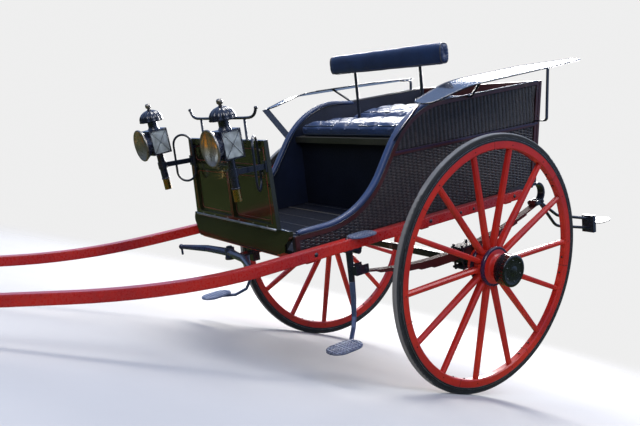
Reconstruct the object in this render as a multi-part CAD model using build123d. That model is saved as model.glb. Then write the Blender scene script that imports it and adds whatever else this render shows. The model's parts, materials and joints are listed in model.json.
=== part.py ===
from build123d import *
import math
import os

# A two-wheeled country cart with a wicker body, drawn with the body level and the origin at the
# middle of the axle: +X forward, +Y to the cart's left, +Z up, in millimetres.
# The finished pieces are then tipped forward together until the shaft points rest on the ground.

# Widths across the cart, from the body outwards; cutting shapes run past what they cut by cut_past
body_half_width = 485.0
frame_proud = 9.0
shaft_side_gap = 31.0
shaft_width = 46.0
shaft_spacing = body_half_width + frame_proud + shaft_side_gap + shaft_width / 2
wheel_side_gap = 50.0
cut_past = 60.0

# Wheels
wheel_radius = 700.0
camber_deg = 3.0
rubber_depth = 30.0
channel_depth = 10.0
felloe_depth = 42.0
tyre_width = 42.0
tyre_shoulder = 11.0
felloe_width = 40.0
channel_lip = 3.0
spoke_count = 14
spoke_start_deg = 11.6
spoke_foot_width = 24.0
spoke_foot_depth = 44.0
spoke_waist_width = 30.0
spoke_chamfer = 0.26
spoke_waist_place = 120.0
spoke_waist_depth = 38.0
spoke_tongue_width = 27.0
spoke_tongue_depth = 30.0
dish = 16.0

# Naves, measured along the wheel's own axis from the middle plane of the rim
nave_back = -98.0
half_track = shaft_spacing + shaft_width / 2 + wheel_side_gap - nave_back
nave_waist_radius = 97.0
nave_back_radius = 80.0
nave_nose_radius = 64.0
nose_start = 34.0
nose_end = 112.0
hoop_radius = 107.0
hoop_width = 20.0
hoop_gap = 25.0
collar_radius = 73.0
collar_end = 140.0
cap_radius = 44.0
cap_recess = 9.0
cap_thick = 6.0
arm_radius = 22.0
arm_clearance = 0.05
arm_nut_end = 122.0
arm_nut_radius = 33.0
nut_clearance = 8.0
nut_length = 22.0
axle_end_play = 4.0

# Axle and springs
axle_square = 40.0
axle_collar_radius = 36.0
axle_collar_width = 18.0
collar_play = 0.3
spring_span = 1330.0
spring_rise = 85.0
spring_offset = 52.0
spring_tilt_deg = 2.5
spring_inset = 14.0
leaf_thick = 8.0
leaf_width = 45.0
leaf_count = 6
leaf_step = 92.0
spring_eye_radius = 17.0
spring_pin_radius = 8.0
pin_fit = 0.05
clip_plate_thick = 12.0
clip_half_length = 62.0
clip_plate_edge = 10.0
clip_bolt_radius = 7.0
scroll_thick = 12.0
scroll_radius = 60.0
scroll_set_back = 20.0
scroll_lap = 130.0
scroll_turn_deg = 150.0
shackle_half = 14.0
shackle_thick = 6.0
shackle_gap = 0.5
shackle_pin_end = 6.0

# Shafts
shaft_depth = 51.0
shaft_top = 311.0
shaft_rear = -462.0
shaft_bend_start = 1280.0
shaft_rise_corner = 1700.0
shaft_rise_deg = 11.8
shaft_tip_x = 2930.0
shaft_level_corner = 2740.0
shaft_tip_slope_deg = 3.0
shaft_tip_depth = 42.0
shaft_rise_radius = 3900.0
shaft_level_radius = 1500.0
shaft_plan_corner = 1430.0
shaft_tip_spacing = 340.0
shaft_plan_radius = 2200.0
shaft_tip_width = 38.0

# Body box
panel_thick = 22.0
body_bottom = 282.0
body_front = 1062.0
floor_thick = 20.0
rear_bottom_x = -664.0
rear_top_x = -768.0
body_top = 905.0
top_front_drop = 31.0
swoop_top_x = 284.0
swoop_foot_x = 643.0
swoop_foot_z = 371.0
swoop_radius = 470.0
frame_width = 20.0
mid_rail_z = 655.0
roll_thick = 24.0
roll_rear_length = 410.0
roll_end_gap = 6.0
roll_width = 40.0
tail_gap = 6.0
tail_thick = 20.0
tail_frame = 44.0
tail_panel_thick = 12.0
hinge_strap_thick = 8.0
hinge_strap_length = 60.0
hinge_side_play = 0.5
tail_hinge_radius = 9.0
tail_pin_radius = 5.0
tail_hinge_length = 70.0
tail_hinge_spacing = 300.0
tail_open_deg = 80.0

# Toe board and dashboard
apron_top = 400.0
apron_lean = 30.0
apron_thick = 16.0
apron_corner = 85.0
apron_straight = 34.0
apron_fillet = 40.0
dash_x = 1084.0
dash_top = 822.0
dash_half_width = body_half_width - 93.0
dash_lower_half_width = body_half_width - 71.0
dash_panel_thick = 9.0
dash_frame_thick = 22.0
dash_frame_width = 26.0
dash_upper_rail = 676.0
rein_rod_radius = 7.0
rein_knob_radius = 9.5
rein_rail_height = 926.0
rein_post_spacing = dash_half_width - 167.0
rein_bend_spacing = dash_half_width - 107.0
rein_tip_spacing = dash_half_width - 50.0
rein_tip_height = 974.0
rein_bend_radius = 28.0
loop_length = 262.0
loop_width = 118.0
loop_rod_radius = 6.0
loop_stud_half = 4.2
loop_middle = 722.0
loop_splay_deg = 48.0
loop_inner_y = dash_half_width - 52.0
loop_stand = 1.5
loop_stud_spacing = 55.0

# Seat
seat_top = 722.0
seat_board_thick = 18.0
seat_front = 362.0
seat_back = -470.0
seat_rail_depth = 34.0
seat_rail_thick = 20.0
heel_board_x = 322.0
heel_board_thick = 14.0
front_cushion_thick = 82.0
rear_cushion_thick = 112.0
cushion_side_gap = 14.0
cushion_corner = 26.0
front_cushion_back = 18.0
rear_cushion_front = -48.0
rear_cushion_back = -452.0
backrest_radius = 58.0
backrest_half_length = body_half_width + 1.0
backrest_height = 1123.0
backrest_x = -14.0
backrest_iron_radius = 9.0
backrest_iron_spacing = body_half_width - 202.0
backrest_socket = 20.0
iron_foot_radius = 24.0
iron_foot_thick = 6.0

# Wings over the wheels; the right one has sunk a little at the back
wing_thick = 6.0
wing_inner = half_track - 91.0
wing_outer = half_track + 84.0
wing_front = 408.0
wing_front_bulge = 28.0
wing_front_outer = half_track + 31.0
wing_shoulder_x = 382.0
wing_front_corner = 26.0
wing_broad_x = 110.0
wing_broad_bend = 240.0
wing_rear = -858.0
wing_tip_y = half_track - 29.0
wing_tip_half = 26.0
wing_back_inner = half_track - 101.0
wing_back_outer = half_track + 71.0
wing_front_z = 912.0
wing_knee_x = 140.0
wing_knee_z = 980.0
wing_back_knee_x = -420.0
wing_back_knee_z = 1006.0
wing_rear_z = 1016.0
wing_bend_radius = 900.0
wing_slope_deg = 7.0
wing_sunk_deg = 1.8
stay_radius = 7.0
stay_bend = 18.0
stay_lap = 4.0
front_stay_x = 398.0
front_stay_foot_z = 735.0
front_stay_top_x = 410.0
front_stay_reach = 74.0
front_stay_width = 38.0
front_stay_turn_deg = 36.0
middle_stay_x = -150.0
middle_stay_top_x = -106.0
middle_stay_drop = 24.0
stay_reach = 30.0
stay_foot_run = 24.0
flat_stay_thick = 8.0
rear_stay_x = -716.0
rear_stay_foot_z = 675.0
rear_stay_run = 78.0
rear_stay_lean = 0.105
rear_stay_width = 17.0

# Lamps
lamp_x = 1279.0
lamp_lean_left_deg = 3.5
lamp_lean_right_deg = 5.5
lamp_y = dash_half_width - 8.0
lamp_box_half = 50.0
lamp_box_bottom = 768.0
lamp_box_top = 898.0
lamp_wall = 3.0
lamp_window_margin = 6.0
lamp_glass_lap = 2.0
lamp_glass_thick = 2.5
lens_radius = 81.0
lens_z = 831.0
lens_ring_depth = 42.0
lens_ring_thick = 5.0
lens_flare = 24.0
lens_lip = 8.0
lens_glass_thick = 6.0
lens_throat_radius = 34.0
chimney_radius = 24.0
chimney_foot_radius = 32.0
chimney_taper = 14.0
chimney_top = 948.0
dome_radius = 55.0
dome_drop = 6.0
dome_lip = 6.0
dome_arc_radius = 66.0
dome_top = 1000.0
finial_neck = 7.0
finial_neck_height = 10.0
finial_edge = 4.0
finial_radius = 13.0
finial_top = 1032.0
candle_radius = 19.0
candle_bottom = 628.0
candle_end_radius = 18.0
candle_end_bottom = 572.0
socket_z = 704.0
socket_height = 36.0
socket_wall = 4.0
bracket_width = 26.0
bracket_thick = 8.0

# Swingletree
swingle_x = 1152.0
swingle_z = 248.0
swingle_half = 370.0
swingle_bow = 96.0
swingle_middle_radius = 22.0
swingle_arm_radius = 18.0
swingle_end_radius = 12.0
swingle_sweep_radius = 500.0
swingle_boss_radius = 25.0
swingle_boss_height = 48.0
swingle_pin_radius = 8.0
swingle_pin_fit = 0.05
swingle_head_radius = 15.0
swingle_head_thick = 8.0
swingle_play = 0.3
trace_pin_radius = 6.0
trace_pin_length = 44.0
trace_ball_radius = 15.0
strap_width = 54.0
strap_thick = 10.0
crossbar_width = 52.0
crossbar_depth = 42.0
crossbar_places = (985.0, 250.0, -420.0)
drop_block_half = 26.0
drop_block_depth = 42.0
drop_block_step = 6.0
strap_tail = 30.0

# Steps
hanger_lead = 137.0
step_pad_length = 186.0
step_pad_width = 128.0
step_pad_thick = 6.0
step_pad_x = spring_span / 2 + hanger_lead + 154.0
step_pad_y = shaft_spacing + 88.0
step_pad_z = -170.0
shaft_step_x = 724.0
shaft_step_out = 8.0
shaft_step_length = 154.0
shaft_step_width = 112.0
shaft_step_thick = 5.0
rear_step_x = -1150.0
rear_step_y = shaft_spacing + 52.0
rear_step_z = -14.0
rear_pad_length = 170.0
rear_pad_width = 130.0
rear_block_thick = 28.0
rear_block_width = 80.0
rear_block_depth = 108.0
rear_iron_radius = 9.0
rear_iron_bend = 90.0
step_block_lap = 8.0
step_fork_x = -815.0
step_fork_y = shaft_spacing
step_fork_z = 82.0
step_fork_half = 30.0

# The hanging iron in front of each spring: the upper half carries the spring's eye, the lower the step
# x, y, z, width across, depth
hanger_across = (-0.69, 0.72)
forged_chamfer = 0.24
hanger_x = spring_span / 2 + hanger_lead
hanger_joint = (hanger_x - 25.0, shaft_spacing - 38.0, 84.0, 29.0, 22.0)
hanger_stations = (
    (hanger_x, shaft_spacing - 4.0, shaft_top - shaft_depth, 33.0, 25.0),
    (hanger_x - 18.0, shaft_spacing - 28.0, 168.0, 31.0, 24.0),
    hanger_joint,
)
step_stations = (
    hanger_joint,
    (hanger_x - 26.0, shaft_spacing - 42.0, 0.0, 27.0, 20.0),
    (hanger_x - 19.0, shaft_spacing - 42.0, -96.0, 24.0, 18.0),
    (hanger_x + 4.0, shaft_spacing - 27.0, -146.0, 21.0, 17.0),
    (hanger_x + 60.0, shaft_spacing + 20.0, step_pad_z - 8.0, 20.0, 16.0),
    (hanger_x + 130.0, shaft_spacing + 74.0, step_pad_z - 6.0, 19.0, 14.0),
)
hanger_foot_thick = 10.0
hanger_knuckle_x = hanger_x - 45.0
hanger_knuckle_radius = 16.0
fork_half = 17.0
fork_cheek_thick = 8.0
fork_above = 24.0
fork_below = 20.0


def block(x0, x1, y0, y1, z0, z1):
    return Pos((x0 + x1) / 2, (y0 + y1) / 2, (z0 + z1) / 2) * Box(x1 - x0, y1 - y0, z1 - z0)


def side_slab(face, y0, y1):
    """A profile drawn in X and Z, made into a slab between two places across the cart."""
    thick = y1 - y0
    return Pos(0, y1, 0) * extrude(Plane.XZ * face, amount=thick)


def plan_slab(face, z0, z1):
    return Pos(0, 0, z0) * extrude(face, amount=z1 - z0)


def rod(points, radius, bend=0.0):
    """A round bar along straight runs with bent corners."""
    if len(points) > 2 and bend > 0:
        path = FilletPolyline(*points, radius=bend)
    else:
        path = Polyline(*points)
    start = Plane(origin=path @ 0, z_dir=path % 0)
    return sweep(start * Circle(radius), path=path)


def other_side(shape):
    return mirror(shape, about=Plane.XZ)


def disc(x, y, z0, z1, radius):
    return Pos(x, y, (z0 + z1) / 2) * Cylinder(radius, z1 - z0)


# Wheel, drawn about the local Y axis with the outer face towards +Y
felloe_outer = wheel_radius - rubber_depth - channel_depth
felloe_inner = felloe_outer - felloe_depth
channel_outer = wheel_radius - rubber_depth


def turned(points):
    """A ring or hub turned about the wheel's axis from points of (radius, place along axis)."""
    return revolve(make_face(Polyline(*points, close=True)), axis=Axis.Y)


def tyre():
    section = Pos((wheel_radius + channel_outer) / 2, 0) * Rectangle(rubber_depth, tyre_width - 2 * channel_lip)
    outer = [v for v in section.vertices() if v.X > channel_outer + 1]
    return revolve(fillet(outer, tyre_shoulder), axis=Axis.Y)


def channel():
    half = tyre_width / 2
    lip_top = channel_outer + 9.0
    return turned([
        (felloe_outer, -half), (lip_top, -half), (lip_top, -half + channel_lip),
        (channel_outer, -half + channel_lip), (channel_outer, half - channel_lip),
        (lip_top, half - channel_lip), (lip_top, half), (felloe_outer, half),
    ])


def felloes():
    section = Pos((felloe_inner + felloe_outer) / 2, 0) * Rectangle(felloe_depth, felloe_width)
    inner = [v for v in section.vertices() if v.X < felloe_outer - 1]
    return revolve(chamfer(inner, 6.0), axis=Axis.Y)


def nave():
    hoop_in = -dish - hoop_gap
    hoop_out = -dish + hoop_gap
    body = turned([
        (arm_radius + arm_clearance, nave_back), (nave_back_radius, nave_back),
        (nave_back_radius + 4, hoop_in - hoop_width - 6), (nave_waist_radius - 4, hoop_in - hoop_width),
        (nave_waist_radius - 4, hoop_in), (nave_waist_radius, hoop_in),
        (nave_waist_radius, hoop_out), (nave_waist_radius - 4, hoop_out),
        (nave_waist_radius - 4, hoop_out + hoop_width), (nave_nose_radius + 8, nose_start),
        (nave_nose_radius, nose_start + 8), (nave_nose_radius - 3, nose_end),
        (arm_nut_radius + nut_clearance, nose_end),
        (arm_nut_radius + nut_clearance, nose_end - nut_length - axle_end_play),
        (arm_radius + arm_clearance, nose_end - nut_length - axle_end_play),
    ])
    return body


def hub_bands():
    hoop_in = -dish - hoop_gap
    hoop_out = -dish + hoop_gap
    bands = Part()
    for start, end in ((hoop_in - hoop_width, hoop_in), (hoop_out, hoop_out + hoop_width)):
        bands += turned([
            (nave_waist_radius - 4, start), (hoop_radius - 3, start), (hoop_radius, start + 4),
            (hoop_radius, end - 4), (hoop_radius - 3, end), (nave_waist_radius - 4, end),
        ])
    bands += turned([
        (cap_radius, nose_end), (nave_nose_radius, nose_end), (collar_radius - 5, nose_end + 10),
        (collar_radius, collar_end - 8), (collar_radius - 3, collar_end), (cap_radius, collar_end),
    ])
    return bands


def hub_cap():
    end = collar_end - cap_recess
    return turned([
        (0, end - cap_thick), (cap_radius, end - cap_thick), (cap_radius, end),
        (cap_radius - 10, end), (cap_radius - 14, end + 5), (0, end + 5),
    ])


def spokes():
    foot = nave_waist_radius - 8
    top = felloe_inner + 8
    # height along the spoke, width round the wheel, depth along the axle, set-in from the rim plane
    stations = (
        (foot, spoke_foot_width, spoke_foot_depth, -dish),
        (foot + spoke_waist_place, spoke_waist_width, spoke_waist_depth, -dish * 0.8),
        (top, spoke_tongue_width, spoke_tongue_depth, 0.0),
    )
    sections = []
    for height, width, depth, inset in stations:
        outline = chamfer(Rectangle(width, depth).vertices(), min(width, depth) * spoke_chamfer)
        sections.append(Plane(origin=(0, inset, height), x_dir=(1, 0, 0), z_dir=(0, 0, 1)) * outline)
    blank = loft(sections, ruled=True)
    drum = Rot(90, 0, 0) * Cylinder(nave_waist_radius, 4 * hoop_gap)
    rim = Rot(90, 0, 0) * Cylinder(felloe_inner, 4 * hoop_gap)
    one = (blank - drum) & rim
    turn = 360.0 / spoke_count
    return [Rot(0, spoke_start_deg + i * turn, 0) * one for i in range(spoke_count)]


def on_left_arm(shape):
    return Pos(0, half_track, 0) * Rot(-camber_deg, 0, 0) * shape


def axle():
    """The square bed with its two round arms, each canted down towards its tip."""
    bed_end = half_track + nave_back - axle_collar_width - collar_play
    bed = Box(axle_square, 2 * (bed_end - 8), axle_square)
    bed = chamfer(bed.edges().filter_by(Axis.Y), 5.0)
    local_inner = nave_back - collar_play
    arm = turned([
        (0, local_inner - axle_collar_width - 16), (axle_square * 0.46, local_inner - axle_collar_width - 16),
        (axle_square * 0.46, local_inner - axle_collar_width),
        (axle_collar_radius, local_inner - axle_collar_width), (axle_collar_radius, local_inner),
        (arm_radius, local_inner), (arm_radius, nose_end - nut_length),
        (arm_nut_radius, nose_end - nut_length), (arm_nut_radius, arm_nut_end - 4), (0, arm_nut_end - 4),
    ])
    left = on_left_arm(arm)
    return bed + left + other_side(left)


def leaf_arc(radius, half_angle, thick):
    """One leaf seen from the side: a band of a ring about the point (0, radius)."""
    points = []
    for r in (radius, radius + thick):
        row = []
        for a in (-half_angle, 0.0, half_angle):
            row.append((r * math.sin(a), radius - r * math.cos(a)))
        points.append(row)
    upper, lower = points
    edges = [
        ThreePointArc(*upper), Line(upper[2], lower[2]),
        ThreePointArc(lower[2], lower[1], lower[0]), Line(lower[0], upper[0]),
    ]
    return make_face(edges)


spring_base = axle_square / 2 + clip_plate_thick + leaf_count * leaf_thick
spring_radius = (spring_span / 2) ** 2 / (2 * spring_rise) + spring_rise / 2
eye_angle = math.asin(spring_span / 2 / spring_radius)
eye_z = spring_base + spring_radius * (1 - math.cos(eye_angle))
eye_height = eye_z + spring_eye_radius - leaf_thick
spring_y = shaft_spacing - spring_inset
spring_tilt = math.radians(spring_tilt_deg)


def tilted(shape):
    """The springs and their seats lean forward a little about the axle."""
    return Rot(0, spring_tilt_deg, 0) * shape


def eye_place(end):
    """Where the eye at one end of the tilted spring lies, seen from the side."""
    x = spring_offset + end * spring_span / 2
    return (x * math.cos(spring_tilt) + eye_height * math.sin(spring_tilt),
            eye_height * math.cos(spring_tilt) - x * math.sin(spring_tilt))


front_eye_x, front_eye_z = eye_place(1)
rear_eye_x, rear_eye_z = eye_place(-1)


def spring():
    outline = Sketch()
    for i in range(leaf_count):
        length = spring_span / 2 - i * leaf_step
        radius = spring_radius + i * leaf_thick
        angle = math.asin(length / spring_radius) if i == 0 else length / spring_radius
        leaf = leaf_arc(radius, angle, leaf_thick)
        outline += Pos(spring_offset, spring_base - i * leaf_thick) * leaf
    for end in (-1, 1):
        outline += Pos(spring_offset + end * spring_span / 2, eye_height) * Circle(spring_eye_radius)
    for end in (-1, 1):
        outline -= Pos(spring_offset + end * spring_span / 2, eye_height) * Circle(spring_pin_radius + pin_fit)
    return tilted(side_slab(outline, spring_y - leaf_width / 2, spring_y + leaf_width / 2))


def axle_clip():
    """The seat on the axle, the cap over the leaves and the four bolts of one spring."""
    low = axle_square / 2
    bedding = low * math.tan(spring_tilt)
    seat_top_z = low + clip_plate_thick
    cap_low = spring_base + 3.0
    across = leaf_width / 2 + clip_bolt_radius + 1.0
    inner = spring_y - across - clip_plate_edge
    outer = spring_y + across + clip_plate_edge
    seat = block(-clip_half_length, clip_half_length, inner, outer, low - bedding, seat_top_z - 2)
    cap = block(-clip_half_length, clip_half_length, inner, outer, cap_low, cap_low + clip_plate_edge)
    foot = block(-clip_half_length, clip_half_length, inner, outer, -low - clip_plate_edge, -low + bedding)
    clip = seat + cap + foot
    for x in (-clip_half_length + 12, clip_half_length - 12):
        for y in (spring_y - across, spring_y + across):
            clip += disc(x, y, -low - 2 * clip_plate_edge, cap_low + 2 * clip_plate_edge, clip_bolt_radius)
    return tilted(clip) - spring() - axle()


# Shafts: the side profile and the plan profile of one shaft, which cut each other
shaft_rise = math.tan(math.radians(shaft_rise_deg))
tip_slope = math.tan(math.radians(shaft_tip_slope_deg))
level_corner_z = shaft_top + (shaft_level_corner - shaft_rise_corner) * shaft_rise
tip_top = level_corner_z + (shaft_tip_x - shaft_level_corner) * tip_slope
tip_round = shaft_tip_depth / 2
tip_centre_z = tip_top - tip_round


def shaft():
    top = FilletPolyline(
        (shaft_rear, shaft_top), (shaft_rise_corner, shaft_top), (shaft_level_corner, level_corner_z),
        (shaft_tip_x, tip_top), radius=(shaft_rise_radius, shaft_level_radius))
    low = FilletPolyline(
        (shaft_tip_x, tip_top - shaft_tip_depth), (shaft_level_corner, level_corner_z - shaft_tip_depth - 3),
        (shaft_rise_corner, shaft_top - shaft_depth), (shaft_rear, shaft_top - shaft_depth),
        radius=(shaft_level_radius, shaft_rise_radius))
    nose = ThreePointArc(
        (shaft_tip_x, tip_top), (shaft_tip_x + tip_round, tip_centre_z),
        (shaft_tip_x, tip_top - shaft_tip_depth))
    back = Line((shaft_rear, shaft_top - shaft_depth), (shaft_rear, shaft_top))
    profile = side_slab(make_face([top, nose, low, back]), 0, shaft_spacing + shaft_width)
    beyond = shaft_tip_x + cut_past
    outer = FilletPolyline(
        (shaft_rear - 1, shaft_spacing + shaft_width / 2), (shaft_plan_corner, shaft_spacing + shaft_width / 2),
        (beyond, shaft_tip_spacing + shaft_tip_width / 2), radius=shaft_plan_radius)
    inner = FilletPolyline(
        (beyond, shaft_tip_spacing - shaft_tip_width / 2), (shaft_plan_corner, shaft_spacing - shaft_width / 2),
        (shaft_rear - 1, shaft_spacing - shaft_width / 2), radius=shaft_plan_radius)
    ends = [
        Line(outer @ 1, inner @ 0),
        Line(inner @ 1, outer @ 0),
    ]
    plan = plan_slab(make_face([outer, ends[0], inner, ends[1]]), 0, tip_top + cut_past)
    return profile & plan


shaft_under = shaft_top - shaft_depth


def forged_bar(stations, level_foot=False):
    """A tapering bar with chamfered edges through its stations, its top and if asked its foot cut level."""
    places = [Vector(*station[:3]) for station in stations]
    across = Vector(*hanger_across, 0).normalized()
    sections = []
    for i, (_, _, _, width, depth) in enumerate(stations):
        along = (places[min(i + 1, len(places) - 1)] - places[max(i - 1, 0)]).normalized()
        if i == 0 or (level_foot and i == len(places) - 1):
            along = Vector(0, 0, -1)
        side = (across - along * across.dot(along)).normalized()
        outline = chamfer(Rectangle(width, depth).vertices(), depth * forged_chamfer)
        sections.append(Plane(origin=places[i], x_dir=side, z_dir=along) * outline)
    return loft(sections, ruled=True)


def spring_hanger():
    """The forging under the shaft: a foot, the upper half of the hanging iron and the fork for the spring."""
    top_x = hanger_stations[0][0]
    cheek = leaf_width / 2 + shackle_gap
    outer = cheek + fork_cheek_thick
    bar = forged_bar(hanger_stations, level_foot=True)
    foot_half = shaft_width / 2 - 2
    foot = block(front_eye_x + fork_half, top_x + 2 * fork_half,
                 shaft_spacing - foot_half, shaft_spacing + foot_half,
                 shaft_under - hanger_foot_thick, shaft_under)
    knuckle_place = Pos(hanger_knuckle_x, shaft_spacing - spring_inset / 2, shaft_under - hanger_knuckle_radius - 1)
    knuckle = knuckle_place * Rot(90, 0, 0) * Cylinder(hanger_knuckle_radius, shaft_width)
    fork = block(front_eye_x - fork_half, hanger_stations[1][0], spring_y - outer, spring_y + outer,
                 front_eye_z - fork_below, front_eye_z + fork_above)
    slot = block(front_eye_x - fork_half - 1, front_eye_x + spring_eye_radius + 2,
                 spring_y - cheek, spring_y + cheek, front_eye_z - cut_past, front_eye_z + cut_past)
    pin = across_pin(front_eye_x, front_eye_z, spring_pin_radius, 2 * outer + 14)
    return bar + foot + knuckle + (fork - slot) + pin


# The rear scroll curls down from the top of the shaft; its toe holds the shackle
scroll_x = rear_eye_x - scroll_set_back
scroll_level = shaft_top + scroll_thick / 2
scroll_turn = math.radians(scroll_turn_deg)
toe_x = scroll_x - scroll_radius * math.sin(scroll_turn)
toe_z = scroll_level - scroll_radius + scroll_radius * math.cos(scroll_turn)


def across_pin(x, z, radius, length):
    return Pos(x, spring_y, z) * Rot(90, 0, 0) * Cylinder(radius, length)


def rear_scroll():
    """The curled iron behind the end of the shaft, with the shackle that holds the spring's rear eye."""
    run = Line((shaft_rear + scroll_lap, scroll_level), (scroll_x, scroll_level))
    curl = ThreePointArc(
        (scroll_x, scroll_level), (scroll_x - scroll_radius, scroll_level - scroll_radius), (toe_x, toe_z))
    strip = trace([run, curl], line_width=scroll_thick)
    strip += Pos(toe_x, toe_z) * Circle(scroll_thick)
    iron = side_slab(strip, spring_y - leaf_width / 2, spring_y + leaf_width / 2)
    ends = (Pos(rear_eye_x, rear_eye_z) * Circle(shackle_half), Pos(toe_x, toe_z) * Circle(shackle_half))
    link = make_hull([edge for end in ends for edge in end.edges()])
    near = leaf_width / 2 + shackle_gap
    for side in (-1, 1):
        inner = spring_y + side * near
        outer = spring_y + side * (near + shackle_thick)
        iron += side_slab(link, min(inner, outer), max(inner, outer))
    pin_length = 2 * (near + shackle_thick + shackle_pin_end)
    iron += across_pin(rear_eye_x, rear_eye_z, spring_pin_radius, pin_length)
    iron += across_pin(toe_x, toe_z, spring_pin_radius, pin_length)
    return iron


def crossbars():
    inside = shaft_spacing - shaft_width / 2
    low = body_bottom - crossbar_depth
    return [block(x, x + crossbar_width, -inside, inside, low, body_bottom) for x in crossbar_places]


def side_outline():
    """The side of the body: level floor line, sloping tail, and the swoop down to the toe board."""
    top_front_z = body_top - top_front_drop
    edge = FilletPolyline(
        (rear_top_x, body_top), (swoop_top_x, top_front_z), (swoop_foot_x, swoop_foot_z),
        (body_front, swoop_foot_z), radius=swoop_radius)
    rest = Polyline((body_front, swoop_foot_z), (body_front, body_bottom), (rear_bottom_x, body_bottom),
                    (rear_top_x, body_top))
    return edge, rest


def side_panel():
    edge, rest = side_outline()
    return side_slab(make_face([edge, rest]), body_half_width - panel_thick, body_half_width)


def side_frame():
    """The mouldings that run round the wicker and across it, proud of its outer face."""
    edge, rest = side_outline()
    whole = make_face([edge, rest])
    inner = offset(whole, amount=-frame_width)
    slab = side_slab(whole - inner, body_half_width, body_half_width + frame_proud)
    rail = block(rear_top_x, swoop_foot_x, body_half_width, body_half_width + frame_proud,
                 mid_rail_z - frame_width / 2, mid_rail_z + frame_width / 2)
    field = side_slab(whole, body_half_width - 1, body_half_width + frame_proud + 1)
    return slab + (rail & field)


def edge_roll():
    """The stuffed leather roll on the edge of the swoop."""
    top_front_z = body_top - top_front_drop
    lift = roll_thick / 2
    rear_x = swoop_top_x - roll_rear_length
    rear_z = top_front_z + (swoop_top_x - rear_x) / (swoop_top_x - rear_top_x) * top_front_drop
    path = FilletPolyline(
        (rear_x, rear_z - lift - 1), (swoop_top_x + lift / 2, top_front_z + lift),
        (swoop_foot_x + lift / 2, swoop_foot_z + lift), (body_front - roll_end_gap, swoop_foot_z + lift),
        radius=(swoop_radius + lift, swoop_radius - lift))
    strip = trace(path, line_width=roll_thick)
    edge, rest = side_outline()
    strip -= make_face([edge, rest])
    middle = body_half_width - panel_thick / 2
    roll = side_slab(strip, middle - roll_width / 2, middle + roll_width / 2)
    return roll


def tail_x(z):
    share = (z - body_bottom) / (body_top - body_bottom)
    return rear_bottom_x + share * (rear_top_x - rear_bottom_x)


def tail_plane_slab(y0, y1, z0, z1, front, back):
    """A slab that leans with the tail, between two distances behind the tail line."""
    face = make_face(Polyline(
        (tail_x(z0) - front, z0), (tail_x(z1) - front, z1), (tail_x(z1) - back, z1), (tail_x(z0) - back, z0),
        close=True))
    return side_slab(face, y0, y1)


tail_hinge_x = rear_bottom_x - tail_gap - tail_thick / 2
tail_hinge_z = body_bottom - hinge_strap_thick / 2
tail_bottom = tail_hinge_z + tail_hinge_radius + 3.0


def hinge_round(y, radius, length):
    return Pos(tail_hinge_x, y, tail_hinge_z) * Rot(90, 0, 0) * Cylinder(radius, length)


def tailboard():
    """The hinged board between the sides, with its frame and the moving knuckles of its hinges."""
    half = body_half_width + frame_proud
    board = tail_plane_slab(-half, half, tail_bottom, body_top, tail_gap, tail_gap + tail_thick)
    field = tail_plane_slab(-half + tail_frame, half - tail_frame, tail_bottom + tail_frame,
                            body_top - tail_frame, tail_gap + tail_panel_thick, tail_gap + tail_thick + cut_past)
    board -= field
    for y in (-tail_hinge_spacing, tail_hinge_spacing):
        leaf = block(tail_hinge_x - hinge_strap_thick / 2, tail_hinge_x + hinge_strap_thick / 2,
                     y - tail_hinge_length / 4, y + tail_hinge_length / 4, tail_hinge_z, tail_bottom + tail_gap)
        board += hinge_round(y, tail_hinge_radius, tail_hinge_length / 2) + leaf
        board -= hinge_round(y, tail_pin_radius + pin_fit, tail_hinge_length)
    return board


def tail_hinges():
    """The fixed knuckles, straps and pins under the floor's rear edge."""
    hinges = []
    knuckle = tail_hinge_length / 4
    for y in (-tail_hinge_spacing, tail_hinge_spacing):
        one = hinge_round(y, tail_pin_radius, tail_hinge_length + 2 * tail_gap)
        for side in (-1, 1):
            at = y + side * (knuckle + hinge_side_play + knuckle / 2)
            one += hinge_round(at, tail_hinge_radius, knuckle)
            one += block(tail_hinge_x, rear_bottom_x + hinge_strap_length, at - knuckle / 2, at + knuckle / 2,
                         body_bottom - hinge_strap_thick, body_bottom)
        hinges.append(one)
    return hinges


def floor():
    wide = body_half_width - panel_thick
    return block(rear_bottom_x + 2, dash_x - apron_thick, -wide, wide, body_bottom, body_bottom + floor_thick)


def toe_board():
    """The painted apron from the foot of the dashboard down to the floor, with rounded lower corners."""
    half = body_half_width
    face = make_face(Polyline(
        (-half, apron_top), (half, apron_top), (half, apron_top - apron_straight), (half - apron_corner, body_bottom),
        (-half + apron_corner, body_bottom), (-half, apron_top - apron_straight), close=True))
    low = face.vertices().filter_by(lambda v: v.Y < apron_top - 1)
    face = fillet(low, apron_fillet)
    slab = extrude(Plane(origin=(dash_x - 60, 0, 0), x_dir=(0, 1, 0), z_dir=(1, 0, 0)) * face, amount=160)
    lean = make_face(Polyline(
        (dash_x, apron_top), (dash_x - apron_thick, apron_top), (dash_x - apron_thick, body_bottom),
        (dash_x + apron_lean, body_bottom), (dash_x + apron_lean, body_bottom + 6), close=True))
    return slab & side_slab(lean, -half, half)


def dash_outline():
    return make_face(Polyline(
        (-dash_lower_half_width, apron_top), (dash_lower_half_width, apron_top),
        (dash_half_width, dash_top), (-dash_half_width, dash_top), close=True))


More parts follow.
